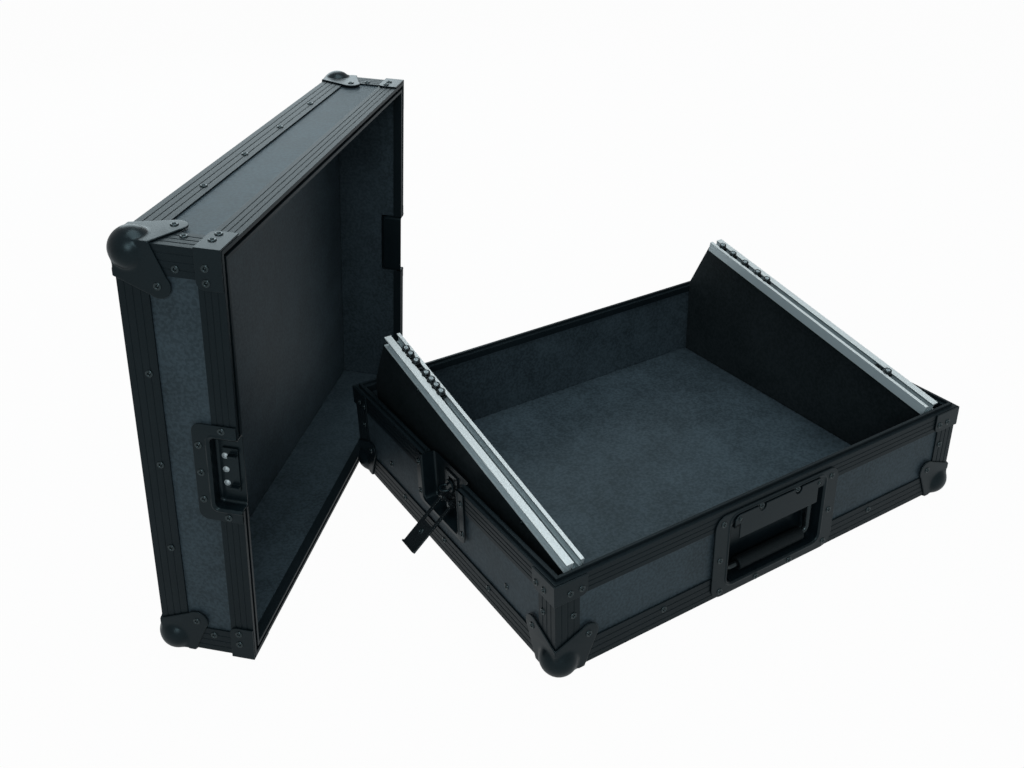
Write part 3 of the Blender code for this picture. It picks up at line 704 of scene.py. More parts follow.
def corners(halves: Iterable[Half], kind: str) -> Iterator[tuple[Half, Side, End, str]]:
    """Goes round the corners of the halves.

    Args:
        halves: The halves of the case.
        kind: The kind of node that sits on each corner.

    Yields:
        The half, the corner's side and end, and its node.
    """
    for half in halves:
        for side in Side:
            for end in End:
                yield half, side, end, f"{half.name}_{kind}_{end.name}_{side.name}".lower()


def tray_half() -> Half:
    """The tray, measured on its bottom frame and rim braces."""
    low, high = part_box("base_bottom_frame")
    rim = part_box("base_rim_brace_front_left")[1].z + GAP
    matrix = Matrix.Translation((0.0, 0.0, rim)) @ Matrix.Diagonal((1.0, 1.0, -1.0, 1.0))
    return Half("base", "tray", high.x - low.x, high.y - low.y, rim - low.z, matrix)


def lid_half(tray: Half) -> Half:
    """The standing lid, measured on its top panel, its frame and its rim braces.

    Args:
        tray: The tray, which is as wide and as deep.

    Returns:
        The lid.
    """
    panel = node_mesh("lid_top_panel")
    out = max(panel.polygons, key=lambda face: face.area).normal.copy()
    out = out if out.z > 0.0 else -out
    level = Vector((out.x, out.y, 0.0)).normalized()
    along = Vector((level.y, -level.x, 0.0))
    turn = Matrix((along, out.cross(along), out)).transposed()

    def reach(node: str, axis: int) -> Pair:
        """How far a node reaches along one axis of the lid."""
        places = [(turn.transposed() @ vertex.co)[axis] for vertex in node_mesh(node).vertices]
        return min(places), max(places)

    rim = reach("lid_rim_brace_front_left", 2)[0] - GAP
    middle = [sum(reach("lid_top_panel", axis)) / 2 for axis in (0, 1)]
    matrix = turn.to_4x4()
    matrix.translation = turn @ Vector((*middle, rim))
    return Half("lid", "lid", tray.width, tray.depth, reach("lid_top_frame", 2)[1] - rim, matrix)


class SizedTree:
    """A geometry node tree with named sizes, which ends in real geometry with its material."""

    def __init__(self, name: str, finish: Finish, inputs: dict[str, float]) -> None:
        """Starts a tree with named sizes.

        Args:
            name: The tree's name.
            finish: The surface of what it makes.
            inputs: The named sizes and their values.
        """
        self.finish = finish
        self.sizes = inputs
        self.tree = bpy.data.node_groups.new(name, "GeometryNodeTree")
        self.graph = Graph(self.tree)
        face = self.tree.interface
        face.new_socket("Geometry", in_out="INPUT", socket_type="NodeSocketGeometry")
        self.identifiers = {}
        for label in inputs:
            socket = face.new_socket(label, in_out="INPUT", socket_type="NodeSocketFloat")
            self.identifiers[label] = socket.identifier
        face.new_socket("Geometry", in_out="OUTPUT", socket_type="NodeSocketGeometry")
        self.entry = self.graph.node("NodeGroupInput")

    def size(self, label: str) -> Term:
        """One of the tree's named sizes, or the Geometry that it works on."""
        return Term(self.graph, self.entry.outputs[label])

    def sizes_of(self, *labels: str) -> list[Term]:
        """Several of the tree's named sizes."""
        return [self.size(label) for label in labels]

    def smooth(self, shape: Term) -> Term:
        """A shape that is shaded smooth."""
        return self.graph.term("GeometryNodeSetShadeSmooth", None, {"Geometry": shape})

    def end(self, shape: Term) -> None:
        """Ends the tree: the shape made real, with its material."""
        real = self.graph.term("GeometryNodeRealizeInstances", None, {"Geometry": shape})
        sockets = {"Geometry": real, "Material": self.finish.material()}
        done = self.graph.term("GeometryNodeSetMaterial", None, sockets)
        self.graph.node("NodeGroupOutput", None, {"Geometry": done})

    def applied(self, obj: bpy.types.Object) -> bpy.types.Object:
        """Runs the tree on an object.

        Args:
            obj: The object to work on. It is removed.

        Returns:
            The baked result, under the same name.
        """
        modifier = modify(obj, "NODES", node_group=self.tree)
        for label, value in self.sizes.items():
            modifier[self.identifiers[label]] = value
        return baked(obj)


class Scatter(SizedTree):
    """Sets copies of one small fastener on spots."""

    def raised(self, shape: Term, height: Term) -> Term:
        """A shape that is moved along Z."""
        place = self.graph.term("ShaderNodeCombineXYZ", None, {2: height})
        return self.graph.term("GeometryNodeTransform", None, {"Geometry": shape, "Translation": place})

    def ring(self, outer: Term, inner: Term, height: Any, sides: int, steps: int) -> Term:
        """A rounded ring about Z, whose middle lies at zero.

        Args:
            outer: Its outer radius.
            inner: Its inner radius.
            height: Its height over the surface.
            sides: Sides round the axis.
            steps: Sides of its section.

        Returns:
            The ring as geometry.
        """
        term = self.graph.term
        circle = "GeometryNodeCurvePrimitiveCircle"
        path = term(circle, None, {"Resolution": sides, "Radius": (outer + inner) * 0.5})
        section = term(circle, None, {"Resolution": steps, "Radius": 1.0})
        shape = term("ShaderNodeCombineXYZ", None, {0: (outer - inner) * 0.5, 1: height, 2: 1.0})
        section = term("GeometryNodeTransform", None, {"Geometry": section, "Scale": shape})
        return term("GeometryNodeCurveToMesh", None, {"Curve": path, "Profile Curve": section})

    def drum(self, radius: Any, depth: Any, sides: int) -> Term:
        """A plain round disc or post about Z."""
        sockets = {"Vertices": sides, "Radius": radius, "Depth": depth}
        return self.graph.term("GeometryNodeMeshCylinder", None, sockets)

    def block(self, x: Any, y: Any, z: Any) -> Term:
        """A block about the origin."""
        size = self.graph.term("ShaderNodeCombineXYZ", None, {0: x, 1: y, 2: z})
        return self.graph.term("GeometryNodeMeshCube", None, {"Size": size})

    def without(self, shape: Term, cutters: list[Term]) -> Term:
        """A shape with others cut out of it."""
        sockets = {"Mesh 1": shape, "Mesh 2": cutters}
        return self.graph.term("GeometryNodeMeshBoolean", {"operation": "DIFFERENCE"}, sockets)

    def joined(self, parts: list[Term]) -> Term:
        """Several shapes as one."""
        return self.graph.term("GeometryNodeJoinGeometry", None, {"Geometry": parts})

    def close(self, shape: Term, smooth: bool = True) -> None:
        """Ends the tree: the shape on every point, made real, with its material.

        Args:
            shape: The fastener, standing on its surface along Z.
            smooth: Whether it is shaded smooth.
        """
        term = self.graph.term
        vector = {"data_type": "FLOAT_VECTOR"}
        facing, along = (
            term("GeometryNodeInputNamedAttribute", vector, {"Name": name}) for name in ("facing", "along")
        )
        align = "FunctionNodeAlignRotationToVector"
        turn = term(align, {"axis": "Z"}, {"Vector": facing})
        turn = term(align, {"axis": "X", "pivot_axis": "Z"}, {"Rotation": turn, "Vector": along})
        shape = self.smooth(shape) if smooth else shape
        sockets = {"Points": self.size("Geometry"), "Instance": shape, "Rotation": turn}
        self.end(term("GeometryNodeInstanceOnPoints", None, sockets))

    def set(self, name: str, spots: Sequence[Spot], body: str = "tray", along: Vector | None = None) -> None:
        """Sets the fastener on spots as one piece.

        Args:
            name: The piece's name.
            spots: Where the fasteners sit.
            body: The body that they ride on.
            along: The way that each fastener's X points, where that matters.
        """
        mesh = bpy.data.meshes.new(name)
        mesh.from_pydata([tuple(spot.point) for spot in spots], [], [])
        facing = mesh.attributes.new("facing", "FLOAT_VECTOR", "POINT")
        running = mesh.attributes.new("along", "FLOAT_VECTOR", "POINT")
        for i, spot in enumerate(spots):
            facing.data[i].vector = spot.facing
            running.data[i].vector = along if along is not None else spot.facing.orthogonal()
        dress(self.applied(link(name, mesh)), self.finish, body)


def hollow_rivet(name: str, finish: Finish, radius: float, height: float, bore: float) -> Scatter:
    """A blind rivet: a domed flange round a bore, with the mandrel's stub down in it.

    Args:
        name: The tree's name.
        finish: Its surface.
        radius: The flange's radius.
        height: The flange's height.
        bore: The bore's radius.

    Returns:
        The tree that scatters it.
    """
    sizes = {"Flange Radius": radius, "Flange Height": height, "Bore Radius": bore}
    tree = Scatter(name, finish, sizes)
    outer, high, inner = tree.sizes_of(*sizes)
    ring = tree.ring(outer, inner, high, 16, 8)
    stub = tree.drum(inner * 1.15, high * 0.5, 10)
    tree.close(tree.joined([ring, stub]))
    return tree


def flat_rivet(name: str, finish: Finish, radius: float, height: float) -> Scatter:
    """A solid rivet with a low round head.

    Args:
        name: The tree's name.
        finish: Its surface.
        radius: The head's radius.
        height: The head's height.

    Returns:
        The tree that scatters it.
    """
    sizes = {"Head Radius": radius, "Head Height": height}
    tree = Scatter(name, finish, sizes)
    head, high = tree.sizes_of(*sizes)
    rim = tree.ring(head, head * 0.72, high, 20, 8)
    middle = tree.drum(head * 0.86, high * 1.9, 20)
    tree.close(tree.joined([rim, middle]))
    return tree


def rack_screw(finish: Finish) -> Scatter:
    """A rack screw: a cupped head that stands over its washer on a short neck.

    Args:
        finish: Its surface.

    Returns:
        The tree that scatters it.
    """
    sizes = {
        "Head Radius": 0.0044,
        "Head Height": 0.0015,
        "Cup Radius": 0.0021,
        "Neck Radius": 0.0027,
        "Neck Height": 0.0024,
        "Washer Radius": 0.0048,
        "Washer Height": 0.0008,
        "Shank Length": 0.0080,
    }
    tree = Scatter("rack_screw", finish, sizes)
    head, high, cup, neck, rise, outer, thick, long = tree.sizes_of(*sizes)
    ring = tree.raised(tree.ring(head, cup, high, 20, 10), rise)
    washer = tree.ring(outer, neck, thick, 20, 6)
    post = tree.raised(tree.drum(neck, rise, 14), rise * 0.5)
    shank = tree.raised(tree.drum(neck * 0.85, long, 12), long * -0.5)
    tree.close(tree.joined([ring, washer, post, shank]))
    return tree


def screw_recess(finish: Finish) -> Scatter:
    """A painted highlight: the bright floor of a screw's cup, standing for light reflected in the recess,
    with a cross cut into it.

    Args:
        finish: Its surface.

    Returns:
        The tree that scatters it.
    """
    sizes = {"Floor Radius": 0.0024, "Floor Height": 0.0008, "Cross Length": 0.0036, "Cross Width": 0.0009}
    tree = Scatter("screw_recess", finish, sizes)
    radius, high, length, width = tree.sizes_of(*sizes)
    floor = tree.drum(radius, high, 16)
    bars = [tree.raised(tree.block(x, y, high), high * 0.5) for x, y in ((length, width), (width, length))]
    tree.close(tree.without(floor, bars), smooth=False)
    return tree


def slot_nut(finish: Finish, height: float) -> Scatter:
    """A square nut that slides in a rail's slot.

    Args:
        finish: Its surface.
        height: Its height.

    Returns:
        The tree that scatters it.
    """
    sizes = {"Nut Width": 0.0092, "Nut Height": height, "Bore Radius": 0.0021}
    tree = Scatter("slot_nut", finish, sizes)
    width, high, bore = tree.sizes_of(*sizes)
    nut = tree.without(tree.block(width, width, high), [tree.drum(bore, high * 2.0, 14)])
    tree.close(nut, smooth=False)
    return tree


@dataclass
class Rivets:
    """All rivets and screws of the case, with the places measured on the object."""

    tray: Half
    lid: Half
    flange_radius: float = 0.0036
    flange_height: float = 0.0011
    bore: float = 0.0012
    frame_inset: float = 0.018
    frame_side_pitch: float = 0.0905
    frame_long_pitch: float = 0.0912
    handle_side_place: float = 0.140
    post_inset: float = 0.0195
    post_drop: dict[str, float] = field(default_factory=lambda: {"base": 0.0423, "lid": 0.0395})
    brace_insets: Pair = (0.0150, 0.0275)
    brace_drop: float = 0.014
    lobe_inset: float = 0.0353
    board_screw_place: float = 0.123
    board_screw_drop: float = 0.062

    def frame_spots(self, half: Half) -> list[Spot]:
        """Rivets through both legs of the profiles round the outer panel."""
        spots = []
        h = half.height - self.frame_inset
        long_places = [self.frame_long_pitch * k for k in (-1.5, -0.5, 0.5, 1.5)]
        side_places = [self.frame_side_pitch * k for k in (-1, 0, 1)]
        for side in Side:
            for y in side_places:
                x = side.value * (half.width / 2 - self.frame_inset)
                spots += [half.on_side(side, y, h), half.on_outer(x, y)]
        for end in End:
            handle_here = half.name == "base" and end is End.FRONT
            for x in long_places:
                y = end.value * (half.depth / 2 - self.frame_inset)
                spots.append(half.on_outer(x, y))
                if not handle_here:
                    spots.append(half.on_end(end, x, h))
            if handle_here:
                place = self.handle_side_place
                spots += [half.on_end(end, -place, h), half.on_end(end, place, h)]
        return spots

    def corner_spots(self, half: Half) -> list[Spot]:
        """Rivets of the corner posts, the rim braces and the ball corners."""
        spots = []
        lobe = self.lobe_inset
        for _, side, end, _ in corners([half], "rivets"):
            x, y = side.value * half.width / 2, end.value * half.depth / 2
            stood_on = half.name == "lid" and end is End.REAR
            out = SKIN - self.flange_height if stood_on else SKIN
            places = [(inset, self.brace_drop, SKIN, out) for inset in self.brace_insets]
            places.append((self.post_inset, self.post_drop[half.name], 0.0, 0.0))
            places.append((lobe, half.height - lobe, SKIN, SKIN))
            for inset, h, side_out, end_out in places:
                spots.append(half.on_side(side, y - end.value * inset, h, side_out))
                spots.append(half.on_end(end, x - side.value * inset, h, end_out))
            spots.append(half.on_outer(x - side.value * lobe, y - end.value * lobe, SKIN))
        return spots

    def latch_spots(self, half: Half) -> list[Spot]:
        """Rivets of the latch flanges."""
        places = {
            "base": ((0.0447, 0.013), (0.0447, 0.050)),
            "lid": ((0.0447, 0.013), (0.028, 0.0345), (0.0, 0.0345)),
        }
        spots = []
        for side in Side:
            for y, h in places[half.name]:
                spots.append(half.on_side(side, y, h, SKIN))
                if y:
                    spots.append(half.on_side(side, -y, h, SKIN))
        return spots

    def handle_spots(self) -> list[Spot]:
        """Rivets of the handle's flange, by x and the height over the tray's underside."""
        places = ((0.072, 0.0895), (0.0735, 0.047), (0.071, 0.008), (0.024, 0.0922), (0.023, 0.0048))
        tray = self.tray
        flat = [(sign * x, tray.height - high) for x, high in places for sign in (-1, 1)]
        return [tray.on_end(End.FRONT, x, h, SKIN) for x, h in flat]

    def panel_spots(self) -> list[Spot]:
        """Screws through the tray's short walls into the rail boards."""
        place, drop = self.board_screw_place, self.board_screw_drop
        return [self.tray.on_side(side, y, drop, -SKIN) for side in Side for y in (-place, place)]

    def build(self) -> None:
        """Sets every rivet, one piece for each body."""
        rivet = hollow_rivet("hollow_rivet", RIVET, self.flange_radius, self.flange_height, self.bore)
        for half in (self.tray, self.lid):
            spots = self.frame_spots(half) + self.corner_spots(half) + self.latch_spots(half)
            if half is self.tray:
                spots += self.handle_spots() + self.panel_spots()
            rivet.set(f"{half.body}_rivets", spots, half.body)


@dataclass
class BallCorners:
    """Pressed steel ball corners: a ball, and a plate with a round lobe over each of three faces."""

    radius: float = 0.0186
    inset: float = 0.0107
    arm: float = 0.031
    lobe_place: float = 0.0353
    lobe_radius: float = 0.011
    plate_cut: float = 0.0065
    room_cut: float = 0.0018
    voxel: float = 0.0005
    rounds: int = 8
    seam_rounds: int = 70
    seam_reach: float = 0.0035
    kept_share: float = 0.14
    far: float = 0.2

    def outline(self) -> Outline:
        """One plate: two arms along the edges, and a lobe over the panel."""
        place = self.lobe_place
        lobe = arc((place, place), self.lobe_radius, -40, 130, 18)
        cut = self.plate_cut - SKIN
        return [(-SKIN, cut), (cut, -SKIN), (self.arm, -SKIN), *lobe, (-SKIN, self.arm)]

    def room(self) -> bpy.types.Mesh:
        """The space that the case's own corner fills, with its tip cut off."""
        shape = opened(box_mesh((-GAP,) * 3, (self.far,) * 3))
        cut = cut_away(shape, (self.room_cut, 0.0, 0.0), (-1.0, -1.0, -1.0))
        edges = [item for item in cut["geom_cut"] if isinstance(item, bmesh.types.BMEdge)]
        bmesh.ops.contextual_create(shape, geom=edges)
        return outward(closed(shape, bpy.data.meshes.new("room")))

    def in_seam(self, point: Vector) -> bool:
        """Whether a point lies where the ball runs out into a plate, on the outer side."""
        low = min(point)
        off_ball = abs((point - Vector((self.inset,) * 3)).length - self.radius)
        on_plate = -SKIN - self.seam_reach < low < -GAP - SHEET * 0.6
        return on_plate and off_ball < self.seam_reach

    def pressing(self) -> bpy.types.Mesh:
        """The corner in inward distances off its three faces, its seams rounded as a press does."""
        shape = bmesh.new()
        bmesh.ops.create_uvsphere(shape, u_segments=48, v_segments=24, radius=self.radius)
        bmesh.ops.translate(shape, verts=shape.verts, vec=(self.inset,) * 3)
        ball = closed(shape, bpy.data.meshes.new("ball"))
        for axis in range(3):
            rings = [[(*spot[:axis], t, *spot[axis:]) for spot in self.outline()] for t in (-SKIN, -GAP)]
            ball = combined(ball, mesh_from(rings), "UNION")
        obj = link("pressing", combined(ball, self.room(), "DIFFERENCE"))
        modify(obj, "REMESH", mode="VOXEL", voxel_size=self.voxel)
        modify(obj, "SMOOTH", factor=0.5, iterations=self.rounds)
        obj = baked(obj)
        seam = obj.vertex_groups.new(name="seam")
        seam.add([v.index for v in obj.data.vertices if self.in_seam(v.co)], 1.0, "REPLACE")
        modify(obj, "SMOOTH", factor=0.5, iterations=self.seam_rounds, vertex_group="seam")
        modify(obj, "DECIMATE", ratio=self.kept_share)
        return plain_mesh(obj)

    def build(self, halves: Iterable[Half]) -> None:
        """Sets a pressing on every corner.

        Args:
            halves: The tray and the lid.
        """
        pressing = self.pressing()
        for half, side, end, node in corners(halves, "ball_corner"):
            mesh = moved(pressing, half.corner(side, end))
            for vertex in mesh.vertices:
                vertex.co.z = max(vertex.co.z, 0.0)
            mesh.shade_smooth()
            dress(link(f"{node}_pressing", mesh), STEEL, half.body, node)


@dataclass
class RimBraces:
    """Plates folded round the corners of the rims, with rounded free corners."""

    arm: float = 0.034
    height: float = 0.0225
    corner: float = 0.0065
    edge: float = 0.0004

    def plate(self) -> bpy.types.Mesh:
        """One folded plate, by inward distances off the two walls, and h."""
        r = self.corner
        round_end = arc((self.arm - r, self.height - r), r, 0, 90, 8)
        outline = [(-SKIN, GAP), (self.arm, GAP), *round_end, (-SKIN, self.height)]
        first = mesh_from([[(a, t, h) for a, h in outline] for t in (-SKIN, -GAP)])
        second = mesh_from([[(t, a, h) for a, h in outline] for t in (-SKIN, -GAP)])
        return combined(first, second, "UNION")

    def build(self, halves: Iterable[Half]) -> None:
        """Sets a brace on every corner of the rims.

        Args:
            halves: The tray and the lid.
        """
        plate = self.plate()
        for half, side, end, node in corners(halves, "rim_brace"):
            mesh = moved(plate, half.rim_corner(side, end))
            dress(softened(f"{node}_plate", mesh, self.edge), STEEL, half.body, node)


@dataclass(frozen=True)
class DishRing:
    """One rounded outline of a pressed dish: its sizes, its corner radius and its place out of the wall."""

    half: float
    low: float
    high: float
    radius: float
    out: float

    def points(self, steps: int = 8) -> list[Triple]:
        """The outline as (across, out, up)."""
        x, r = self.half - self.radius, self.radius
        corners = (
            (x, self.high - r, 0),
            (-x, self.high - r, 90),
            (-x, self.low + r, 180),
            (x, self.low + r, 270),
        )
        flat = []
        for across, up, start in corners:
            flat += arc((across, up), r, start, start + 90, steps)
        return [(across, self.out, up) for across, up in flat]


@dataclass
class PressedDish:
    """A dish drawn from sheet steel: a flat flange, a raised bead and a recess with round corners."""

    flange: DishRing
    bead: DishRing
    opening: DishRing
    depth: float
    bead_width: float = 0.0034
    bead_height: float = 0.0009
    floor_round: float = 0.0042
    least_radius: float = 0.0008
    sheet: float = 0.0012

    def rings(self) -> list[DishRing]:
        """The outlines from the flange's edge to the floor."""
        flange, bead, opening = self.flange, self.bead, self.opening
        top = flange.out

        def inner(ring: DishRing, inset: float, out: float) -> DishRing:
            """A ring that lies inside another, at another height."""
            radius = max(ring.radius - inset, self.least_radius)
            return DishRing(ring.half - inset, ring.low + inset, ring.high - inset, radius, out)

        rings = [
            inner(flange, 0.0, top - 0.0009),
            inner(flange, 0.0001, top - 0.0003),
            inner(flange, 0.0006, top),
            inner(bead, 0.0, top),
        ]
        for share, lift in ((0.15, 0.35), (0.32, 0.85), (0.5, 1.0), (0.68, 0.85), (0.85, 0.35), (1.0, 0.0)):
            rings.append(inner(bead, self.bead_width * share, top + self.bead_height * lift))
        rings += [
            inner(opening, -0.0010, top),
            inner(opening, -0.0003, top - 0.0003),
            inner(opening, 0.0, top - 0.0010),
        ]
        steps = 6
        for k in range(steps + 1):
            angle = math.radians(90 * k / steps)
            inset = self.floor_round * (1 - math.cos(angle))
            out = -self.depth + self.floor_round * (1 - math.sin(angle))
            rings.append(inner(opening, inset, out))
        return rings

    def mesh(self, open_below: float | None = None) -> bpy.types.Mesh:
        """The dish as (across, out, up).

        Args:
            open_below: A height under which the dish is cut away, where it opens at a rim.

        Returns:
            A closed sheet.
        """
        mesh = mesh_from([ring.points() for ring in self.rings()], Ends.OPEN_FIRST)
        shape = opened(mesh)
        if open_below is not None:
            cut_away(shape, (0.0, 0.0, open_below), (0.0, 0.0, -1.0))
        floor = min(shape.faces, key=lambda face: face.calc_center_median().y)
        if floor.normal.y < 0.0:
            bmesh.ops.reverse_faces(shape, faces=shape.faces)
        obj = link("dish", closed(shape, mesh))
        modify(obj, "SOLIDIFY", thickness=self.sheet, offset=-1.0)
        return plain_mesh(obj)


@dataclass
class Handle:
    """The recessed handle in the tray's front wall, by x, the distance out and the height."""

    tray: Half
    pivot_height: float = 0.078
    bar_height: float = 0.0205
    axis_depth: float = 0.010
    half_width: float = 0.057
    rod_radius: float = 0.00325
    pin_end: float = 0.044
    pin_bend: float = 0.004
    bar_bend: float = 0.008
    grip: Pair = (-0.040, 0.0485)
    grip_radius: float = 0.007
    grip_edge: float = 0.0016
    grip_ribs: int = 9
    rib_depth: float = 0.00018
    cover_rivet: Pair = (0.0525, 0.0890)
    bearing: Pair = (0.0435, 0.0515)
    bearing_reach: float = 0.006
    bearing_edge: float = 0.0008
    cover_edge: float = 0.0005
    dish_depth: float = 0.020
    flange: DishRing = DishRing(0.082, 0.0005, 0.0995, 0.014, SKIN)
    bead: DishRing = DishRing(0.0662, 0.0088, 0.0980, 0.0120, SKIN)
    opening: DishRing = DishRing(0.062, 0.0125, 0.088, 0.008, SKIN)

    def place(self) -> Matrix:
        """From (x, distance out of the front face, height over the tray's underside) to the world."""
        matrix = Matrix.Diagonal((1.0, -1.0, 1.0, 1.0))
        floor = (self.tray.matrix @ Vector((0.0, 0.0, self.tray.height))).z
        matrix.translation = (0.0, -self.tray.depth / 2, floor)
        return matrix

    def path(self) -> list[Vector]:
        """The rod's centre line: pin, leg, bar, leg, pin, with round bends."""
        half, low, high = self.half_width, self.bar_height, self.pivot_height
        end = self.pin_end
        flat = ((-end, high), (-half, high), (-half, low), (half, low), (half, high), (end, high))
        bends = [Vector(place) for place in flat]
        radii = (self.pin_bend, self.bar_bend, self.bar_bend, self.pin_bend)
        steps = 10
        path = [bends[0]]
        for i, radius in enumerate(radii, start=1):
            before = (bends[i - 1] - bends[i]).normalized()
            after = (bends[i + 1] - bends[i]).normalized()
            centre = bends[i] + (before + after) * radius
            for step in range(steps + 1):
                angle = math.pi / 2 * step / steps
                path.append(centre - after * radius * math.cos(angle) - before * radius * math.sin(angle))
        return [*path, bends[-1]]

    def rod(self) -> bpy.types.Object:
        """The bent rod, swept along its path by a geometry node tree."""
        place = self.place()
        curve = bpy.data.curves.new("handle_rod", "CURVE")
        curve.dimensions = "3D"
        spline = curve.splines.new("POLY")
        path = self.path()
        spline.points.add(len(path) - 1)
        for point, flat in zip(spline.points, path):
            point.co = (*(place @ Vector((flat.x, -self.axis_depth, flat.y))), 1.0)
        tree = SizedTree("bent_rod", SCREW, {"Rod Radius": self.rod_radius})
        term = tree.graph.term
        sockets = {"Resolution": 28, "Radius": tree.size("Rod Radius")}
        section = term("GeometryNodeCurvePrimitiveCircle", None, sockets)
        sockets = {"Curve": tree.size("Geometry"), "Profile Curve": section, "Fill Caps": True}
        tree.end(tree.smooth(term("GeometryNodeCurveToMesh", None, sockets)))
        return tree.applied(link("handle_rod", curve))

    def sleeve(self) -> bpy.types.Mesh:
        """The rubber sleeve, with rounded ends and shallow ribs, along the bar."""
        start, end = self.grip
        bore = self.rod_radius + GAP
        edge, sides, steps = self.grip_edge, 36, self.grip_ribs * 4
        profile = [(start, bore), (start, self.grip_radius - edge)]
        profile += arc((start + edge, self.grip_radius - edge), edge, 180, 90, 5)
        span = end - start - 2 * edge
        for k in range(1, steps):
            lift = self.rib_depth * math.sin(math.pi * k / 2)
            profile.append((start + edge + span * k / steps, self.grip_radius + min(lift, 0.0)))
        profile += arc((end - edge, self.grip_radius - edge), edge, 90, 0, 5)
        profile += [(end, bore)]
        rings = []
        for i in range(sides):
            angle = math.tau * i / sides
            a, b = math.cos(angle), math.sin(angle)
            rings.append([(x, -self.axis_depth + a * r, self.bar_height + b * r) for x, r in profile])
        return mesh_from(rings, Ends.JOINED)

    def build(self) -> None:
        """Makes the dish, its bearings, the cover plate, the rod and its sleeve."""
        place = self.place()
        dish = PressedDish(self.flange, self.bead, self.opening, self.dish_depth)
        piece = link("handle_dish_pressing", moved(dish.mesh(), place))
        dress(smoothed(piece), STEEL, "tray", "handle_dish")
        for side in Side:
            low, high = sorted(side.value * x for x in self.bearing)
            reach = self.bearing_reach
            block = box_mesh(
                (low, -self.dish_depth + GAP, self.pivot_height - reach),
                (high, -self.axis_depth + reach, self.pivot_height + reach),
            )
            name = f"handle_bearing_{side.name}".lower()
            dress(softened(name, moved(block, place), self.bearing_edge, 3), STEEL, "tray")
        cover = softened("handle_cover_pressing", node_mesh("handle_cover_plate"), self.cover_edge, 3)
        dress(cover, STEEL, "tray", "handle_cover_plate")
        x, high = self.cover_rivet
        cover_out = SKIN + GAP + SHEET
        spots = [self.tray.on_end(End.FRONT, s * x, self.tray.height - high, cover_out) for s in (-1, 1)]
        flat_rivet("cover_rivet", RIVET, radius=0.0024, height=0.0008).set("handle_cover_rivets", spots)
        dress(self.rod(), SCREW, "handle_bail", "handle_bail")
        grip = link("handle_sleeve", moved(self.sleeve(), place))
        dress(smoothed(grip), RUBBER, "handle_bail", "handle_grip")


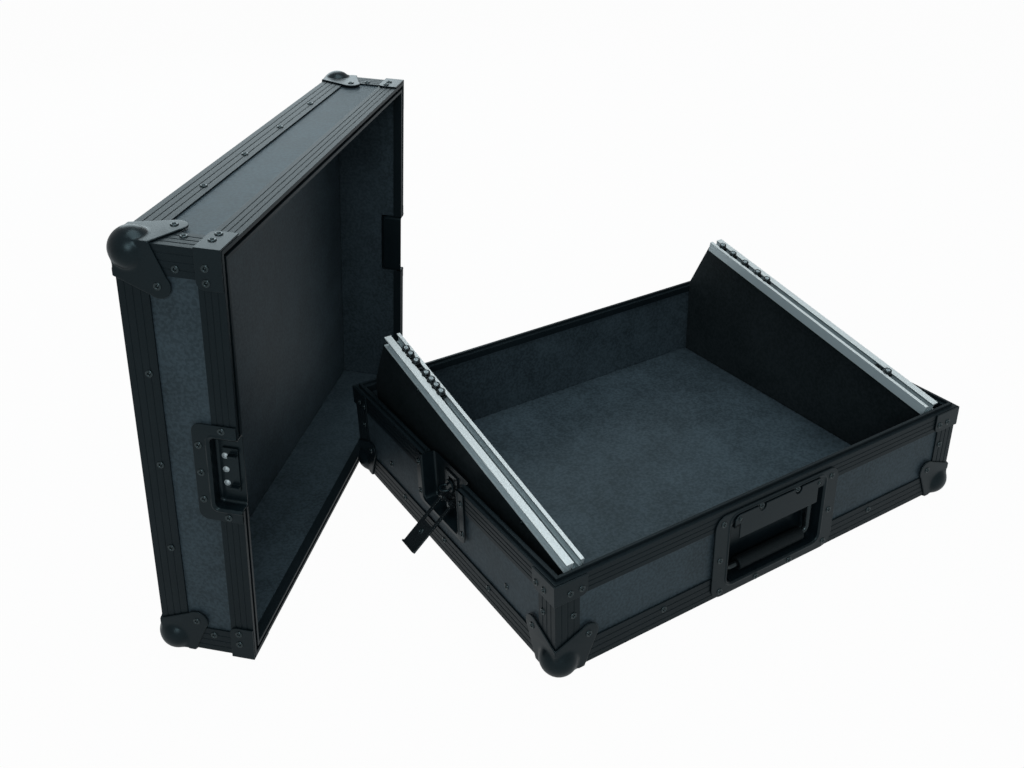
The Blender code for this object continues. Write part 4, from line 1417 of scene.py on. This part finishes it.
@dataclass
class Latches:
    """The butterfly latches in the tray's short walls and their keepers in the lid, by (out, y, h)."""

    tray: Half
    lid: Half
    key_drop: float = 0.023
    key_back: float = -0.0119
    disc_radius: float = 0.0075
    disc_thickness: float = 0.0024
    post_radius: float = 0.0045
    ring_radius: float = 0.0056
    ring_wire: float = 0.0014
    ring_depth: float = 0.0055
    keeper_face: float = 0.0079
    keeper_rivet_drop: float = 0.0160
    keeper_rivet_pitch: float = 0.014
    hook_rivet_reach: float = 0.041
    hook_hang: float = 40.0
    hook_pin: Triple = (-0.0065, 0.0, 0.039)
    hook_face: float = 0.001
    edge: float = 0.0003
    key_edge: float = 0.0002

    def dish(self, half: Half, side: Side) -> None:
        """The pressed dish of one latch.

        Args:
            half: The half that it sits in.
            side: The wall that it sits in.
        """
        height, cavity, depth = (0.062, 0.0542, 0.014) if half.name == "base" else (0.040, 0.0245, 0.010)
        beyond = -0.020
        flange = DishRing(0.0495, beyond, height, 0.0085, SKIN)
        bead = DishRing(0.0402, beyond + 0.004, cavity + 0.0042, 0.0075, SKIN)
        opening = DishRing(0.036, beyond + 0.008, cavity, 0.0045, SKIN)
        shape = PressedDish(flange, bead, opening, depth, floor_round=0.0028)
        swap = Matrix(((0, 1, 0, 0), (1, 0, 0, 0), (0, 0, 1, 0), (0, 0, 0, 1)))
        mesh = moved(shape.mesh(GAP), half.side_face(side) @ swap)
        node = f"latch_dish_{side.name}".lower()
        node = node if half.name == "base" else f"lid_{node}"
        dress(smoothed(link(f"{node}_pressing", mesh)), STEEL, half.body, node)

    def key(self, side: Side) -> None:
        """The key: a post and disc, with a ring to turn it by.

        Args:
            side: The wall that it sits in.
        """
        turned = [
            (self.key_back - 0.0018, self.post_radius),
            (self.key_back, self.post_radius),
            (self.key_back, self.disc_radius - 0.0004),
            (self.key_back + 0.0004, self.disc_radius),
            (self.key_back + self.disc_thickness - 0.0006, self.disc_radius),
            (self.key_back + self.disc_thickness, self.disc_radius - 0.0006),
        ]
        rings = []
        for out, radius in turned:
            outline = arc((0.0, self.key_drop), radius, 0, 360 - 360 / 32, 31)
            rings.append([(out, y, h) for y, h in outline])
        disc = mesh_from(rings)
        rings = []
        sides = 36
        for i in range(sides):
            angle = math.tau * i / sides
            centre = Vector((math.cos(angle), math.sin(angle), 0.0))
            ring = []
            for u, v in arc((0.0, 0.0), self.ring_wire, 0, 330, 11):
                point = centre * (self.ring_radius + u) + Vector((0.0, 0.0, v * 0.8))
                ring.append((point.x - self.ring_depth, point.y, point.z + self.key_drop))
            rings.append(ring)
        ring = mesh_from(rings, Ends.JOINED)
        mesh = moved(combined(disc, ring, "UNION"), self.tray.side_face(side))
        node = f"latch_key_{side.name}".lower()
        dress(softened(f"{node}_turned", mesh, self.key_edge), STEEL, node, node)

    def hook_spot(self, side: Side) -> Spot:
        """Where the rivet of a hook sits, on the face that shows while it hangs open.

        Args:
            side: The wall of the latch.

        Returns:
            The spot on the hook's outer face.
        """
        place = self.tray.side_face(side)
        hang = math.radians(self.hook_hang)
        pin = Vector(self.hook_pin)
        along = Vector((math.cos(hang), 0.0, math.sin(hang)))
        across = Vector((math.sin(hang), 0.0, -math.cos(hang)))
        point = pin + along * self.hook_rivet_reach + across * self.hook_face
        return Spot(place @ point, (place.to_3x3() @ across).normalized())

    def build(self) -> None:
        """Makes every latch piece."""
        rivet = hollow_rivet("hook_rivet", RIVET, radius=0.0034, height=0.0010, bore=0.0012)
        bright = flat_rivet("keeper_rivet", ZINC, radius=0.0030, height=0.0007)
        keeper = []
        for side in Side:
            name = side.name.lower()
            self.dish(self.tray, side)
            self.dish(self.lid, side)
            self.key(side)
            for part, finish in (("slide", SCREW), ("hook", SCREW), ("keeper", STEEL)):
                node = f"latch_{part}_{name}"
                piece = softened(f"{node}_pressing", node_mesh(node), self.edge)
                dress(piece, finish, frame["nodes"][node]["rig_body"], node)
            rivet.set(f"latch_hook_rivet_{name}", [self.hook_spot(side)], f"latch_hook_{name}")
            for k in (-1, 0, 1):
                y = k * self.keeper_rivet_pitch
                keeper.append(self.lid.on_side(side, y, self.keeper_rivet_drop, -self.keeper_face))
        bright.set("keeper_rivets", keeper, "lid")


@dataclass
class RackRails:
    """The fasteners on the two rack rails, by the distance up the slope."""

    mount_along: float = 0.178
    slot_x: float = RailFinish.slot_x
    lip: float = 0.002
    nut_height: float = 0.0026
    # the height of the painted highlight's floor in each screw's cup
    glint_height: float = 0.0031
    screws: dict[str, tuple[float, ...]] = field(
        default_factory=lambda: {
            "left": (0.2490, 0.2597, 0.2703, 0.2816, 0.3045, 0.3174, 0.3276),
            "right": (0.0607, 0.2586, 0.2755, 0.2990, 0.3220, 0.3420),
        }
    )
    loose_nuts: dict[str, tuple[float, ...]] = field(
        default_factory=lambda: {"left": (0.2925,), "right": (0.0745,)}
    )
    board_face: float = 0.241
    board_places: Pair = (0.074, 0.282)
    board_drop: float = 0.019

    def point(self, side: Side, along: float, over: float, x: float) -> Spot:
        """A spot over a rail's front face.

        Args:
            side: The rail.
            along: The distance up the slope.
            over: The height over the front face.
            x: The distance from the middle of the tray.

        Returns:
            The spot, facing out of the rail.
        """
        place, facing = mount(f"rail_face_{side.name}".lower())
        run = Vector((0.0, facing.z, -facing.y))
        point = place + run * (along - self.mount_along) + facing * over
        point.x = side.value * x
        return Spot(point, facing)

    def build(self) -> None:
        """Sets the rack screws, the sliding nuts and the boards' screws."""
        screw, recess, nut = rack_screw(SCREW), screw_recess(SCREW_GLINT), slot_nut(SCREW, self.nut_height)
        board = hollow_rivet("board_screw", RIVET, radius=0.0036, height=0.0012, bore=0.0010)
        run = Vector((0.0, math.cos(RAIL_SLOPE), math.sin(RAIL_SLOPE)))
        under = -self.lip - self.nut_height / 2 - GAP
        for side in Side:
            name = side.name.lower()
            places = self.screws[name]
            sets = (
                (screw, "rack_screws", 0.0, places),
                # the bright cup floors are a painted highlight
                (recess, "rack_screw_recesses", self.glint_height, places),
                (nut, "slot_nuts", under, (*places, *self.loose_nuts[name])),
            )
            for fastener, label, over, row in sets:
                spots = [self.point(side, along, over, self.slot_x) for along in row]
                fastener.set(f"{label}_{name}", spots, along=run)
            spots = []
            for along in self.board_places:
                spot = self.point(side, along, -self.board_drop, self.board_face)
                spots.append(Spot(spot.point, Vector((side.value, 0.0, 0.0))))
            board.set(f"board_screws_{name}", spots)


@dataclass
class PlainNodes:
    """The panels, profiles, boards and rails: the solids' shapes with their edges broken."""

    widths: dict[str, float] = field(
        default_factory=lambda: {
            "laminate": 0.0003,
            "board_paint": 0.0006,
            "black_profile": 0.00018,
            "black_steel": 0.0004,
            "rail_aluminium": 0.0002,
        }
    )

    def build(self) -> None:
        """Replaces each node that still shows by its finished copy."""
        slots = {item["node"]: item["material_slot"] for item in frame["record"]["subparts"]}
        for node, slot in sorted(slots.items()):
            obj = frame["nodes"][node]
            finish = SLOT_FINISHES[slot]
            obj.data.materials.clear()
            obj.data.materials.append(finish.material())
            if obj.hide_render:
                continue
            piece = softened(f"{node}_finished", obj.data, self.widths[slot])
            dress(piece, finish, obj["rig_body"], node)


@dataclass(frozen=True)
class SoftBox:
    """A square studio lamp that looks at a point."""

    name: str
    place: Triple
    target: Triple
    size: float
    watts: float
    tint: Colour = (0.84, 0.99, 1.05)

    def build(self) -> None:
        """Hangs the lamp."""
        lamp = bpy.data.lights.new(self.name, "AREA")
        lamp.shape = "SQUARE"
        lamp.size = self.size
        lamp.energy = self.watts
        lamp.color = self.tint
        obj = link(self.name, lamp)
        obj.location = self.place
        aim = Vector(self.target) - Vector(self.place)
        obj.rotation_euler = aim.to_track_quat("-Z", "Y").to_euler()


@dataclass
class Studio:
    """A plain pale floor, soft lamps and a white surround."""

    floor_half: float = 30.0
    floor_colour: Colour = (0.50, 0.51, 0.52)
    floor_glow: float = 0.975
    mirror_share: float = 0.38
    sky: Colour = (0.44, 0.57, 0.63)
    sky_level: float = 0.17
    lamps: tuple[SoftBox, ...] = (
        SoftBox("top_softbox", (0.1, -0.1, 2.5), (0.0, 0.0, 0.1), 1.6, 25.0),
        SoftBox("back_softbox", (0.2, 2.3, 1.25), (-0.3, 0.1, 0.3), 1.5, 15.0),
        SoftBox("left_softbox", (-1.7, -2.2, 1.6), (0.0, 0.0, 0.1), 1.2, 22.0),
    )

    def rays(self, graph: Graph) -> Term:
        """How much of the white surround a ray sees: all to the camera, a share in gloss and glass."""
        path = graph.node("ShaderNodeLightPath")
        names = ("Is Camera Ray", "Is Glossy Ray", "Is Transmission Ray")
        camera, glossy, transmitted = (Term(graph, path.outputs[name]) for name in names)
        return camera + (glossy + transmitted) * self.mirror_share

    def world(self) -> None:
        """The surround: white to the camera, a soft grey light to the rest."""
        world = bpy.data.worlds.new("surround")
        world.use_nodes = True
        graph = Graph(world.node_tree)
        light = graph.term(
            "ShaderNodeBackground", None, {"Color": (*self.sky, 1.0), "Strength": self.sky_level}
        )
        white = graph.term("ShaderNodeBackground", None, {"Color": (1.0, 1.0, 1.0, 1.0), "Strength": 1.0})
        both = graph.term("ShaderNodeMixShader", None, {0: self.rays(graph), 1: light, 2: white})
        graph.node("ShaderNodeOutputWorld", None, {"Surface": both})
        bpy.context.scene.world = world

    def floor(self) -> None:
        """The floor: pale, and white to the camera but for the shadow."""
        half = self.floor_half
        mesh = bpy.data.meshes.new("studio_floor")
        corners = [(-half, -half, 0.0), (half, -half, 0.0), (half, half, 0.0), (-half, half, 0.0)]
        mesh.from_pydata(corners, [], [(0, 1, 2, 3)])
        floor = link("studio_floor", mesh)
        floor.location.z = -GAP
        material = bpy.data.materials.new("pale_floor")
        material.use_nodes = True
        graph = Graph(material.node_tree)
        matt = graph.term(
            "ShaderNodeBsdfPrincipled", None, {"Base Color": (*self.floor_colour, 1.0), "Roughness": 0.9}
        )
        white = graph.term("ShaderNodeEmission", None, {"Color": (1.0, 1.0, 1.0, 1.0), "Strength": 1.0})
        share = self.rays(graph) * self.floor_glow
        both = graph.term("ShaderNodeMixShader", None, {0: share, 1: matt, 2: white})
        graph.node("ShaderNodeOutputMaterial", None, {"Surface": both})
        mesh.materials.append(material)

    def build(self) -> None:
        """Sets up the studio."""
        self.world()
        self.floor()
        for lamp in self.lamps:
            lamp.build()
        bpy.context.scene.view_settings.view_transform = "Standard"


@dataclass(frozen=True)
class Viewpoint:
    """The photograph's camera. Angles are in degrees and the shifts in shares of the image's width."""

    place: Triple = (-0.64972, -0.78618, 0.71504)
    yaw: float = 30.79
    pitch: float = 27.106
    roll: float = 1.8415
    image_width: float = 1024.0
    focal_pixels: float = 1041.256
    shift: Pair = (0.00653, -0.05124)
    sensor: float = 36.0

    def build(self) -> None:
        """Creates the camera and makes it the scene's."""
        yaw, pitch, roll = (math.radians(a) for a in (self.yaw, self.pitch, self.roll))
        level = Vector((math.sin(yaw), math.cos(yaw), 0.0))
        right = Vector((math.cos(yaw), -math.sin(yaw), 0.0))
        up = Vector((0.0, 0.0, 1.0))
        forward = level * math.cos(pitch) - up * math.sin(pitch)
        down = -up * math.cos(pitch) - level * math.sin(pitch)
        across = right * math.cos(roll) + down * math.sin(roll)
        below = down * math.cos(roll) - right * math.sin(roll)
        data = bpy.data.cameras.new("portrait")
        data.sensor_width = self.sensor
        data.lens = self.focal_pixels / self.image_width * self.sensor
        data.shift_x, data.shift_y = self.shift
        data.clip_start = 0.01
        camera = link("portrait", data)
        matrix = Matrix((across, -below, -forward)).transposed().to_4x4()
        matrix.translation = self.place
        camera.matrix_world = matrix
        bpy.context.scene.camera = camera


def main() -> None:
    """Builds the view, the studio and every dressed piece, in that order."""
    logging.basicConfig(level=logging.INFO, format="%(message)s")
    Viewpoint().build()
    Studio().build()
    tray = tray_half()
    lid = lid_half(tray)
    BallCorners().build((tray, lid))
    RimBraces().build((tray, lid))
    Handle(tray).build()
    Latches(tray, lid).build()
    PlainNodes().build()
    RackRails().build()
    Rivets(tray, lid).build()


if __name__ == "__main__":
    main()
